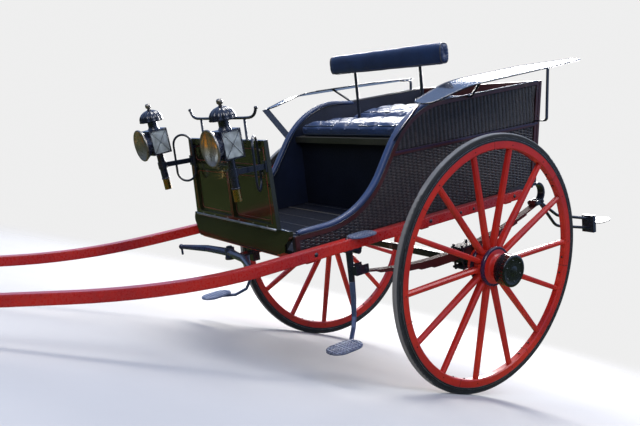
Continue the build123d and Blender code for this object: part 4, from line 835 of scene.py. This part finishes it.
# evens the mesh, blows the cloth up and keeps the result, no further out than the cap
def swell(made, voxel, cap):
    even = made.modifiers.new("even", "REMESH")
    even.mode = "VOXEL"
    even.voxel_size = voxel
    graph = bpy.context.evaluated_depsgraph_get()
    made.data = bpy.data.meshes.new_from_object(made.evaluated_get(graph))
    made.modifiers.clear()
    start = [v.co.copy() for v in made.data.vertices]
    swelling = made.modifiers.new("swell", "CLOTH")
    swelling.settings.use_pressure = True
    swelling.settings.uniform_pressure_force = cloth["pressure"]
    swelling.settings.effector_weights.gravity = 0.0
    swelling.settings.quality = cloth["quality"]
    swelling.point_cache.frame_start = 1
    swelling.point_cache.frame_end = cloth["frames"]
    scene = bpy.context.scene
    for number in range(1, cloth["frames"] + 1):
        scene.frame_set(number)
    graph = bpy.context.evaluated_depsgraph_get()
    swollen = [v.co.copy() for v in made.evaluated_get(graph).data.vertices]
    made.modifiers.clear()
    scene.frame_set(1)
    for v, a, b in zip(made.data.vertices, start, swollen):
        move = b - a
        if move.length > cap:
            move *= cap / move.length
        v.co = a + move
    made.data.update()


def cushionBlock(back, front, thick):
    mesh = bpy.data.meshes.new("block")
    shape = bmesh.new()
    bmesh.ops.create_cube(shape, size=1.0)
    for v in shape.verts:
        v.co = Vector((
            (back + front) / 2 + v.co.x * (front - back - 0.020),
            v.co.y * 2 * (seat["half"] - 0.010),
            seat["top"] + 0.004 + (v.co.z + 0.5) * (thick - 0.018),
        ))
    bmesh.ops.bevel(shape, geom=shape.edges[:], offset=0.012, segments=2, affect="EDGES")
    shape.to_mesh(mesh)
    shape.free()
    return mesh


# how deep a dent or a fold is at a distance from its middle
def dented(gap, shapes):
    return sum(deep * math.exp(-(gap / width) ** 2) for deep, width in shapes)


# sinks the buttons and the folds between them, and keeps the cushion inside its place
def pressButtons(made, label, facts, buttons):
    back, front, thick = facts["back"], facts["front"], facts["thick"]
    folds = [(a, b) for a in buttons for b in buttons
             if a < b and tuft["near"] < abs(a[0] - b[0]) < tuft["far"] and abs(a[1] - b[1]) < tuft["aside"]]
    folds += [((x, y), (x + tuft["edgeFold"], y)) for x, y in buttons if x == max(facts["rows"])]
    folds += [((x, y), (x - tuft["edgeFold"], y)) for x, y in buttons if x == min(facts["rows"])]
    upper = seat["top"] + thick - tuft["crown"]
    satZ, spread = seat["top"] + tuft["satRise"], tuft["spread"]
    low, high = seat["top"] + 0.0005, seat["top"] + thick + 0.004
    for v in made.data.vertices:
        p = v.co
        if p.z > upper:
            near = min(math.hypot(p.x - x, p.y - y) for x, y in buttons)
            sink = dented(near, tuft["dent"])
            for (ax, ay), (bx, by) in folds:
                run = Vector((bx - ax, by - ay))
                t = max(0.0, min(1.0, ((p.x - ax) * run.x + (p.y - ay) * run.y) / run.length_squared))
                gap = math.hypot(p.x - ax - run.x * t, p.y - ay - run.y * t)
                sink = max(sink, dented(gap, tuft["fold"]))
            wave = 0.0020 * math.sin(p.y * 23 + p.x * 9) + 0.0015 * math.sin(p.x * 37 - p.y * 11)
            p.z -= sink - wave
        if label == "rear" and p.z > satZ:
            sat = max(0.0, min(1.0, (p.x + tuft["satFrom"]) / tuft["satRun"]))
            p.z -= tuft["satDrop"] * sat * min(1.0, (p.z - seat["top"] - tuft["satRise"]) / 0.05)
        p.z = max(low, min(high, p.z))
        p.y = max(-seat["half"] - spread, min(seat["half"] + spread, p.y))
        p.x = max(back - spread, min(front + spread, p.x))


# piping round the cushion at two heights, laid on its skin
def weltLoops(tree, back, front, heights):
    runs = []
    middle = Vector(((back + front) / 2, 0, 0))
    for z in heights:
        loop = []
        for k in range(180):
            angle = 2 * math.pi * k / 180
            far = Vector((middle.x + (front - back) * 0.62 * full(math.cos(angle), 0.35),
                          0.60 * full(math.sin(angle), 0.35), z))
            inward = Vector((middle.x + (far.x - middle.x) * 0.3, far.y * 0.75, z)) - far
            hit = tree.ray_cast(far, inward.normalized())[0]
            if hit:
                loop.append(hit)
        runs.append((loop, seat["welt"], True))
    return runs


def tuftedCushion(label, facts):
    back, front, thick = facts["back"], facts["front"], facts["thick"]
    made = piece("seat_" + label, cushionBlock(back, front, thick), "leather",
                 place=unmoved)
    swell(made, seat["voxel"], facts["cap"])
    buttons = []
    for i, x in enumerate(facts["rows"]):
        count = 7 if i % 2 == 0 else 6
        buttons += [(x, (k - (count - 1) / 2) * seat["buttonApart"]) for k in range(count)]
    pressButtons(made, label, facts, buttons)
    finer = made.modifiers.new("finer", "SUBSURF")
    finer.levels = finer.render_levels = 1
    skin = made.evaluated_get(bpy.context.evaluated_depsgraph_get()).data
    tree = BVHTree.FromPolygons([v.co.copy() for v in skin.vertices], [tuple(f.vertices) for f in skin.polygons])
    runs = weltLoops(tree, back, front, (seat["top"] + thick - 0.019, seat["top"] + 0.013))
    piece("seat_welts_" + label, tubes(runs), "patent")
    studs = []
    for x, y in buttons:
        hit = tree.ray_cast(Vector((x, y, 1.0)), Vector((0, 0, -1)))[0]
        if hit:
            studs.append((hit + Vector((0, 0, 0.0005)), (0, 0, 1), seat["button"]))
    if label == "front":
        for k in range(7):
            y = (k - 3) * seat["frontStudApart"]
            hit = tree.ray_cast(Vector((0.8, y, seat["top"] + 0.040)), Vector((-1, 0, 0)))[0]
            if hit:
                studs.append((hit, (1, 0, 0), seat["frontStud"]))
    piece("seat_buttons_" + label, heads(studs, 12), "leather")
    made.data.transform(toRow)
    made.data.update()
    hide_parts("cushion_" + label)


for label, facts in cushions.items():
    tuftedCushion(label, facts)
    print("cushion", label)

backrest = {"x": -0.005, "z": 1.123, "deep": 0.033, "tall": 0.0575, "half": 0.478, "steps": 96, "sides": 48,
            "ends": ((0.80, 0.006), (0.62, 0.009), (0.40, 0.008), (0.18, 0.003), (0.06, 0.000))}


# a point of the pad's section, a flattened oval with full corners
def padSection(angle, grow=1.0):
    wide = backrest["deep"] * full(math.cos(angle), 0.62)
    high = backrest["tall"] * full(math.sin(angle), 0.78)
    return wide * grow, high * grow


# the stuffed backrest: a long full pad with gathered ends
def backPad():
    points = []
    faces = []
    steps, sides, half = backrest["steps"], backrest["sides"], backrest["half"]
    for i in range(steps + 1):
        t = i / steps
        if min(i, steps - i) < 3:  # closer rings at the ends
            t = 0.5 - 0.5 * math.cos(math.pi * t)
        y = -half + 2 * half * t
        toEnd = min(t, 1 - t) * 2 * half
        soft = 1.0 - 0.13 * math.exp(-toEnd / 0.007) + 0.010 * math.exp(-((toEnd - 0.035) / 0.02) ** 2)
        for k in range(sides):
            angle = 2 * math.pi * k / sides
            size = soft * (0.985 + 0.010 * math.sin(y * 19 + angle * 2) + 0.008 * math.sin(y * 43 + angle * 3 + 1))
            wide, high = padSection(angle, size)
            points.append((backrest["x"] + wide, y, backrest["z"] + high))
    for i in range(steps):
        faces += band(i * sides, (i + 1) * sides, sides)
    for end, last in ((-1, 0), (1, steps * sides)):
        for share, sink in backrest["ends"]:
            now = len(points)
            for k in range(sides):
                angle = 2 * math.pi * k / sides
                wide, high = padSection(angle, share)
                pleat = 0.0015 * math.cos(angle * 10) * share
                points.append((backrest["x"] + wide, end * (half + sink * 0.8 + pleat), backrest["z"] + high))
            faces += [quad if end > 0 else quad[::-1] for quad in band(last, now, sides)]
            last = now
        faces.append(disc(last, sides)[::end])
    return meshOf(points, faces)


pad = piece("back_pad", backPad(), "leather")
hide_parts("backrest_roll")
weltRuns = []
for end in (-1, 1):
    loop = []
    for k in range(48):
        wide, high = padSection(2 * math.pi * k / 48, 0.885)
        loop.append((backrest["x"] + wide, end * 0.4775, backrest["z"] + high))
    weltRuns.append((loop, 0.0030, True))
for shift in (-1, 1):
    wide, high = padSection(math.radians(-90 + shift * 34), 0.985)
    seam = [(backrest["x"] + wide, -0.470 + 0.0235 * k, backrest["z"] + high) for k in range(41)]
    weltRuns.append((seam, 0.0026, False))
piece("back_welts", tubes(weltRuns), "pipe")
print("backrest made")

lamp = {
    "x": 1.279, "y": 0.384, "socket": 0.704, "half": 0.050, "low": 0.768, "high": 0.898, "middle": 0.833,
    "lens": 0.831, "leans": {"left": 3.5, "right": 5.5}, "lobes": 12, "lobeDepth": 0.11,
    "dome": [(0.0560, 0.9400), (0.0595, 0.9425), (0.0600, 0.9465), (0.0580, 0.9500), (0.0585, 0.9570),
             (0.0560, 0.9670), (0.0505, 0.9770), (0.0425, 0.9860), (0.0320, 0.9935), (0.0200, 0.9985),
             (0.0110, 1.0010), (0.0085, 1.0045)],
    "knob": [(0.0075, 1.000), (0.0078, 1.0085), (0.0115, 1.011), (0.0140, 1.0145), (0.0147, 1.021),
             (0.0140, 1.028), (0.0105, 1.0325), (0.0055, 1.0340), (0.001, 1.0343)],
    "lensRing": [(0.074, 0.0), (0.0815, 0.0), (0.0835, 0.003), (0.0835, 0.008), (0.0815, 0.0105),
                 (0.0765, 0.0105), (0.0745, 0.007)],
    "bowl": [(0.006, 0.014), (0.020, 0.016), (0.036, 0.021), (0.052, 0.027), (0.066, 0.0325), (0.073, 0.0345)],
    "candle": [(0.011, 0.772), (0.011, 0.800), (0.009, 0.803), (0.009, 0.842), (0.004, 0.845), (0.0012, 0.848),
               (0.001, 0.856)],
    "band": [(0.0205, 0.6285), (0.0215, 0.631), (0.0205, 0.634), (0.0195, 0.636)],
}


# the beading of a lamp's two side panes, a cross in a frame
def lampWires(at):
    wires = []
    for face in (-1, 1):
        y = at.y + face * (lamp["half"] + 0.0006)
        for rise in (-1, 1):
            wires.append(([(at.x - 0.043, y, lamp["middle"] - rise * 0.058),
                           (at.x + 0.043, y, lamp["middle"] + rise * 0.058)], 0.0011, False))
        for z in (lamp["low"] + 0.006, lamp["high"] - 0.006):
            wires.append(([(at.x - 0.047, y, z), (at.x + 0.047, y, z)], 0.0022, False))
        for dx in (-0.0455, 0.0455):
            wires.append(([(at.x + dx, y, lamp["low"] + 0.004), (at.x + dx, y, lamp["high"] - 0.004)], 0.0022, False))
    return wires


for label, flip in bothSides:
    pivot = Vector((lamp["x"], 0, lamp["socket"]))
    lean = Matrix.Rotation(math.radians(lamp["leans"][label]), 4, "Y")
    tip = toRow @ Matrix.Translation(pivot) @ lean @ Matrix.Translation(-pivot)
    at = Vector((lamp["x"], flip * lamp["y"], 0))
    forward = Matrix.Rotation(math.radians(90), 3, "Y")
    lampPieces = (
        ("lamp_dome_", lathe(lamp["dome"], 96, at, None, lamp["lobes"], lamp["lobeDepth"]), "japan"),
        ("lamp_knob_", lathe(lamp["knob"], 28, at), "silver"),
        ("lamp_beads_", tubes(lampWires(at)), "japan"),
        ("lens_ring_", lathe(lamp["lensRing"], 56, at + Vector((lamp["half"] + 0.033, 0, lamp["lens"])), forward),
         "silver"),
        ("reflector_", lathe(lamp["bowl"], 40, at + Vector((lamp["half"] - 0.004, 0, lamp["lens"])), forward),
         "silver"),
        ("candle_", lathe(lamp["candle"], 20, at), "silver"),
        ("tube_band_", lathe(lamp["band"], 28, at), "japan"),
    )
    for title, mesh, finish in lampPieces:
        piece(title + label, mesh, finish, place=tip)
print("lamps made")

wheel = {
    "spokes": 14, "felloes": 7, "seam": 0.6385, "seamHalf": (0.0212, 0.0205, 0.0010), "face": 0.0203,
    "rivetAt": 0.6178, "rivetApart": 0.075, "rivet": 0.0055, "screwAt": 0.640, "screw": 0.0030,
    "lipAt": 0.6697, "lipOut": 0.0195, "lip": 0.0018, "capScrews": 6, "capScrewAt": 0.057, "capScrew": 0.0045,
    "dish": [(0.040, 0.0), (0.0405, 0.003), (0.036, 0.006), (0.026, 0.009), (0.012, 0.0105), (0.002, 0.011)],
    "barrel": [(0.0835, -0.010), (0.0850, -0.008), (0.0850, 0.0005), (0.0830, 0.0020), (0.0700, 0.0020),
               (0.0660, 0.0006), (0.0480, 0.0006)],  # outwards from the outer hub band
    "barrelRoot": [(0.0700, 0.0740), (0.0800, 0.0750), (0.0835, 0.0785)],
}


# the wheel's own place, so that a piece drawn about +Y sits on it
def wheelMatrix(name):
    spin = joints[name + "_spin"]
    axis = Vector(spin["axis"]).normalized()
    turn = Vector((0, 1, 0)).rotation_difference(axis).to_matrix().to_4x4()
    return Matrix.Translation(Vector(spin["pos_m"])) @ turn


# the turn at which the first spoke stands, read from where the spokes are
def spokePhase(name, place):
    inverse = place.inverted()
    c = s = 0.0
    for v in nodes[name + "_spokes"].data.vertices:
        p = inverse @ v.co
        if math.hypot(p.x, p.z) > 0.5:
            angle = math.atan2(p.z, p.x) * wheel["spokes"]
            c += math.cos(angle)
            s += math.sin(angle)
    return math.atan2(s, c) / wheel["spokes"]


def spokeWay(angle):
    return Vector((math.cos(angle), 0, math.sin(angle)))


for label, flip in bothSides:
    name = "wheel_" + label
    place = wheelMatrix(name)
    phase = spokePhase(name, place)
    step = 2 * math.pi / wheel["spokes"]
    seams = []
    rivets = []
    for k in range(wheel["felloes"]):
        angle = phase + (2 * k + 0.5) * step
        seams.append((spokeWay(angle) * wheel["seam"], wheel["seamHalf"], -angle, 0.0))
        for shift in (-wheel["rivetApart"], wheel["rivetApart"]):
            spot = spokeWay(angle + shift)
            rivets.append((spot * wheel["rivetAt"], -spot, wheel["rivet"]))
    for k in range(wheel["spokes"]):
        spot = spokeWay(phase + k * step)
        for face in (-1, 1):
            rivets.append((spot * wheel["screwAt"] + Vector((0, face * wheel["face"], 0)), (0, face, 0),
                           wheel["screw"]))
    piece(name + "_joints", boxes(seams), "gap", body=name, smooth=False, place=place)
    piece(name + "_rivets", heads(rivets), "oxblood", body=name, place=place)
    lips = []
    for y in (wheel["lipOut"], -wheel["lipOut"]):
        turns = [2 * math.pi * k / 120 for k in range(120)]
        loop = [(wheel["lipAt"] * math.cos(turn), y, wheel["lipAt"] * math.sin(turn)) for turn in turns]
        lips.append((loop, wheel["lip"], True))
    piece(name + "_channel_lips", tubes(lips, 6), "lip", body=name, place=place)
    outward = Matrix.Rotation(math.radians(-90 * flip), 3, "X")
    capOut, bandOut = [max((place.inverted() @ v.co).y * flip for v in nodes[name + part].data.vertices)
                       for part in ("_cap", "_bands")]
    barrel = wheel["barrelRoot"] + [(r, bandOut + rise) for r, rise in wheel["barrel"]]
    capHeads = []
    for k in range(wheel["capScrews"]):
        angle = phase + k * math.pi / 3
        spot = (wheel["capScrewAt"] * math.cos(angle), flip * (bandOut + 0.0004), wheel["capScrewAt"] * math.sin(angle))
        capHeads.append((spot, (0, flip, 0), wheel["capScrew"]))
    hubPieces = (
        ("_barrel", lathe(barrel, 48, (0, 0, 0), outward)),
        ("_cap_screws", heads(capHeads)),
        ("_cap_dish", lathe(wheel["dish"], 36, (0, flip * (capOut - 0.004), 0), outward)),
    )
    for title, mesh in hubPieces:
        piece(name + title, mesh, "hub", body=name, place=place)
print("wheels made")

dash = {"face": 1.0932, "front": 1.1062, "half": 0.392, "top": 0.822, "rail": 0.676, "low": 0.400, "frame": 0.026,
        "line": 0.0014, "edgeLine": 0.0012, "notch": 0.012, "foot": 0.0062, "bead": 0.0020}


# a lining line with clipped corners
def rectangleLoop(x, y0, y1, z0, z1):
    notch = dash["notch"]
    return [(x, y0 + notch, z0), (x, y1 - notch, z0), (x, y1, z0 + notch), (x, y1, z1 - notch),
            (x, y1 - notch, z1), (x, y0 + notch, z1), (x, y0, z1 - notch), (x, y0, z0 + notch)]


wide = dash["half"] - dash["frame"]
lowZ = dash["low"] + dash["frame"]
front = dash["front"]
lines = [(rectangleLoop(dash["face"], -wide + 0.016, wide - 0.016, dash["rail"] + 0.029, dash["top"] - 0.042),
          dash["line"], True)]
for flip in (-1, 1):
    a, b = sorted((flip * 0.029, flip * (wide - 0.016)))
    lines.append((rectangleLoop(dash["face"], a, b, lowZ + 0.016, dash["rail"] - 0.029), dash["line"], True))
    for y, z0, z1 in ((0.0065, lowZ + 0.004, dash["rail"] - 0.016),
                      (dash["half"] - 0.013, dash["low"] + 0.03, dash["top"] - 0.03)):
        lines.append(([(front, flip * y, z0), (front, flip * y, z1)], dash["edgeLine"], False))
piece("dash_lining", tubes(lines, 6), "lining")
# the foot bead's light plated colour stands in for a painted highlight along the dash's foot
foot = [(front + 0.001, y, dash["low"] + 0.004) for y in (-dash["half"] - 0.016, 0.0, dash["half"] + 0.016)]
piece("dash_foot_bead", tubes([(foot, dash["foot"], False)], 10), "lip")
beads = []
for z in (dash["rail"] - 0.0135, dash["rail"] + 0.0135):
    beads.append(([(front - 0.0005, -wide, z), (front - 0.0005, wide, z)], dash["bead"], False))
piece("dash_beads", tubes(beads), "olive")
screws = []
for flip in (-1, 1):
    screws += [((front, flip * 0.345, z), (1, 0, 0), 0.006) for z in (0.667, 0.777)]
    screws += [((front, flip * y, dash["low"] + 0.013), (1, 0, 0), 0.0045) for y in (0.06, 0.20, 0.33)]
piece("dash_screws", heads(screws), "silver")

rein = {
    "x": 1.095, "bar": 0.0070, "postY": 0.225,
    "half": [(0.0, 0.9262), (0.12, 0.9258), (0.22, 0.9258), (0.268, 0.9268), (0.292, 0.9300), (0.312, 0.9372),
             (0.326, 0.9475), (0.3345, 0.9590), (0.3395, 0.9700)],
    "post": [(0.802, 0.0125), (0.822, 0.0125), (0.826, 0.0065), (0.9262, 0.0065)],
    "knob": [0.0060, 0.0088, 0.0098, 0.0096, 0.0078, 0.0030],
}
# the rein rail's bar, swept up at both ends to its knobs, on two posts
bar = [(rein["x"], -y, z) for y, z in rein["half"][::-1]] + [(rein["x"], y, z) for y, z in rein["half"][1:]]
railRuns = [(bar, rein["bar"], False)]
for flip in (-1, 1):
    post = [(rein["x"], flip * rein["postY"], z) for z, radius in rein["post"]]
    railRuns.append((post, [radius for z, radius in rein["post"]], False))
    knob = [(rein["x"], flip * (0.3395 + 0.0012 * k), 0.9665 + 0.0024 * k) for k in range(6)]
    railRuns.append((knob, rein["knob"], False))
reinBar = piece("rein_bar", tubes(railRuns, 14), "iron")
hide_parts("rein_rail")

treads = (  # name, place along and across the cart, length, width and top
    ("front_step_{}_ribs", 0.956, 0.636, 0.186, 0.128, -0.164),
    ("shaft_step_ribs_{}", 0.724, 0.556, 0.154, 0.112, 0.316),
)
rib = {"apart": 0.0185, "half": 0.0026, "rise": 0.0015, "edge": 0.007}


# crossed ribs on an oval tread, each as long as the oval is wide there
def padRibs(cx, cy, length, across, top):
    made = []
    straight = (length - across) / 2
    for k in range(-12, 13):
        x = y = k * rib["apart"]
        if abs(x) < length / 2 - 0.012:
            past = max(0.0, abs(x) - straight)
            half = math.sqrt(max(0.0, (across / 2) ** 2 - past ** 2)) - rib["edge"]
            made.append(((cx + x, cy, top + 0.0014), (rib["half"], half, rib["rise"]), 0.0, 0.0))
        if abs(y) < across / 2 - 0.012:
            half = straight + math.sqrt((across / 2) ** 2 - y * y) - rib["edge"]
            made.append(((cx, cy + y, top + 0.0012), (half, rib["half"], rib["rise"]), 0.0, 0.0))
    return made


for title, x, y, length, across, top in treads:
    for label, flip in reversed(bothSides):
        piece(title.format(label), boxes(padRibs(x, flip * y, length, across, top)), "stud",
              smooth=False)

strips = [((x, 0.0, 0.3030), (0.007, 0.455, 0.0014), 0.0, 0.0) for x in (0.47, 0.86)]
strips += [((x, 0.0, 0.3022), (0.0012, 0.455, 0.0006), 0.0, 0.0) for x in (0.35, 0.60, 0.73, 0.99)]
piece("floor_strips", boxes(strips), "silver", smooth=False)

frameBolts = (  # how far out they sit, whether they face up, radius, places along the cart and up
    (0.548, True, 0.0075, ((0.793, 0.311), (0.811, 0.311))),
    (0.571, False, 0.0085, ((1.011, 0.286), (0.276, 0.286), (-0.394, 0.286))),
    (0.548, True, 0.0075, ((-0.30, 0.311), (-0.42, 0.311))),
    (0.571, False, 0.007, ((-0.05, 0.284), (0.05, 0.284))),
    (0.4943, False, 0.0042, ((-0.678, 0.33), (-0.708, 0.52), (-0.733, 0.70), (-0.745, 0.86))),
    (0.4943, False, 0.0042, ((-0.45, 0.294), (0.0, 0.294), (0.45, 0.294), (0.90, 0.294))),
)
bolts = []
for flip in (-1, 1):
    for y, onTop, radius, places in frameBolts:
        facing = (0, 0, 1) if onTop else (0, flip, 0)
        bolts += [((x, flip * y, z), facing, radius) for x, z in places]
piece("frame_bolts", heads(bolts), "iron")
print("trim made")

stage = {
    "rings": (0.8, 1.6, 2.4, 3.4, 4.6, 6.0, 8.0), "sides": 64, "fadeFrom": 2.2, "fadeTo": 6.5,
    "pale": ((0.50, 0.485, 0.465), (0.55, 0.535, 0.515)),
    "mirrored": ((0.030, 0.042, 0.010), (0.075, 0.090, 0.030)),  # what bright paint shows below it
}


# a pale floor that fades out into the ground behind, and is dark to mirrored rays
def stageDisc():
    sides = stage["sides"]
    points = [(0, 0, 0)]
    faces = [(0, 1 + k, 1 + (k + 1) % sides) for k in range(sides)]
    for r in stage["rings"]:
        for k in range(sides):
            points.append((r * math.cos(2 * math.pi * k / sides), r * math.sin(2 * math.pi * k / sides), 0))
    for i in range(len(stage["rings"]) - 1):
        faces += [quad[::-1] for quad in band(1 + i * sides, 1 + (i + 1) * sides, sides)]
    mesh = meshOf(points, faces)
    made = bpy.data.objects.new("stage_floor", mesh)
    bpy.context.scene.collection.objects.link(made)
    pale, tree, out = emptyMaterial("pale_floor")
    place = node(tree, "TexCoord").outputs["Object"]
    mottle = node(tree, "TexNoise", {"Vector": place, "Scale": 2.0, "Detail": 4.0}).outputs[0]
    mirrored = node(tree, "LightPath").outputs["Is Glossy Ray"]
    tone = tinted(tree, mirrored, tinted(tree, mottle, *stage["pale"]), tinted(tree, mottle, *stage["mirrored"]))
    shade = node(tree, "BsdfDiffuse", {"Color": tone})
    clear = node(tree, "BsdfTransparent")
    far = node(tree, "VectorMath", {0: place}, operation="LENGTH").outputs["Value"]
    fade = node(tree, "MapRange", {"Value": far, "From Min": stage["fadeFrom"], "From Max": stage["fadeTo"]},
                interpolation_type="SMOOTHSTEP")
    mixed = node(tree, "MixShader", {0: fade.outputs[0], 1: shade.outputs[0], 2: clear.outputs[0]})
    tree.links.new(mixed.outputs[0], out.inputs[0])
    mesh.materials.append(pale)


sky = {
    "foot": (0.05, 0.06, 0.04, 1), "top": (0.42, 0.62, 1.12, 1), "strength": 0.85, "ground": (0.86, 0.86, 0.86, 1),
    "stops": ((0.12, (0.08, 0.10, 0.08, 1)), (0.30, (0.30, 0.42, 0.72, 1))),
}


# a soft sky for the light and its reflections, and a plain pale ground where the camera looks
def skyLight():
    world = bpy.data.worlds.new("studio")
    bpy.context.scene.world = world
    world.use_nodes = True
    tree = world.node_tree
    tree.nodes.clear()
    out = node(tree, "OutputWorld")
    height = split(tree, node(tree, "TexCoord").outputs["Generated"])[2]
    ramp = node(tree, "ValToRGB", {0: mapped(tree, height, -0.15, 1.0)})
    stops = ramp.color_ramp.elements
    stops[0].color = sky["foot"]
    stops[1].color = sky["top"]
    for share, color in sky["stops"]:
        stops.new(share).color = color
    above = node(tree, "Background", {"Color": ramp.outputs[0], "Strength": sky["strength"]})
    plain = node(tree, "Background", {"Color": sky["ground"], "Strength": 1.0})
    path = node(tree, "LightPath")
    seen = times(tree, path.outputs["Is Camera Ray"], path.outputs["Is Transmission Ray"], "MAXIMUM")
    mixed = node(tree, "MixShader", {0: seen, 1: above.outputs[0], 2: plain.outputs[0]})
    tree.links.new(mixed.outputs[0], out.inputs[0])


lights = {  # place, what it points at, size, power and colour
    "low_back": ((-4.3, -3.9, 3.9), (-0.4, 0.3, 1.3), (4.6, 2.5), 850, (1.0, 0.98, 0.95)),
    "high": ((0.6, -0.6, 6.0), (-0.2, 0.0, 0.9), (2.0, 2.0), 190, (1.0, 0.97, 0.92)),
    "wide_front": ((4.2, 3.6, 3.4), (0.0, 0.2, 0.8), (3.6, 2.6), 120, (1.0, 0.98, 0.95)),
    "side_fill": ((-2.6, 3.4, 5.4), (-0.8, 0.0, 0.7), (3.0, 2.4), 110, (1.0, 0.98, 0.95)),
}
stageDisc()
skyLight()
for name, (place, target, size, power, color) in lights.items():
    light = bpy.data.lights.new(name, "AREA")
    light.shape = "RECTANGLE"
    light.size, light.size_y = size
    light.energy = power
    light.color = color
    holder = bpy.data.objects.new(name, light)
    holder.location = place
    holder.rotation_euler = (Vector(target) - Vector(place)).to_track_quat("-Z", "Y").to_euler()
    bpy.context.scene.collection.objects.link(holder)

# The camera as fitted to the photo, where the body is held nose down and the axle stands at its height.
# It keeps its place beside the body, which here stands further nose down on its shaft tips.
shot = {"place": (2.862, 3.123, 1.488), "axleHeight": 0.70, "held": 6.5, "yaw": -125.94, "pitch": -7.72, "roll": -0.974,
        "focal": 698.7, "width": 640.0, "sensor": 36.0}
toBody = toRow @ Matrix.Rotation(-math.radians(shot["held"]), 4, "Y")
spot = toBody @ (Vector(shot["place"]) - Vector((0, 0, shot["axleHeight"])))
yaw, pitch, tilt = [math.radians(shot[key]) for key in ("yaw", "pitch", "roll")]
look = Vector((math.cos(pitch) * math.cos(yaw), math.cos(pitch) * math.sin(yaw), math.sin(pitch)))
rightward = look.cross(Vector((0, 0, 1))).normalized()
upward = rightward.cross(look)
rightTurned = rightward * math.cos(tilt) + upward * math.sin(tilt)
upTurned = upward * math.cos(tilt) - rightward * math.sin(tilt)
turned = toBody.to_3x3() @ Matrix((rightTurned, upTurned, -look)).transposed()
camera = bpy.data.cameras.new("photo_view")
camera.sensor_width = shot["sensor"]
camera.lens = shot["focal"] / shot["width"] * shot["sensor"]
camera.clip_start = 0.05
holder = bpy.data.objects.new("photo_view", camera)
holder.matrix_world = Matrix.Translation(spot) @ turned.to_4x4()
bpy.context.scene.collection.objects.link(holder)
bpy.context.scene.camera = holder
bpy.context.scene.view_settings.view_transform = "Standard"
print("camera", [round(v, 3) for v in spot])
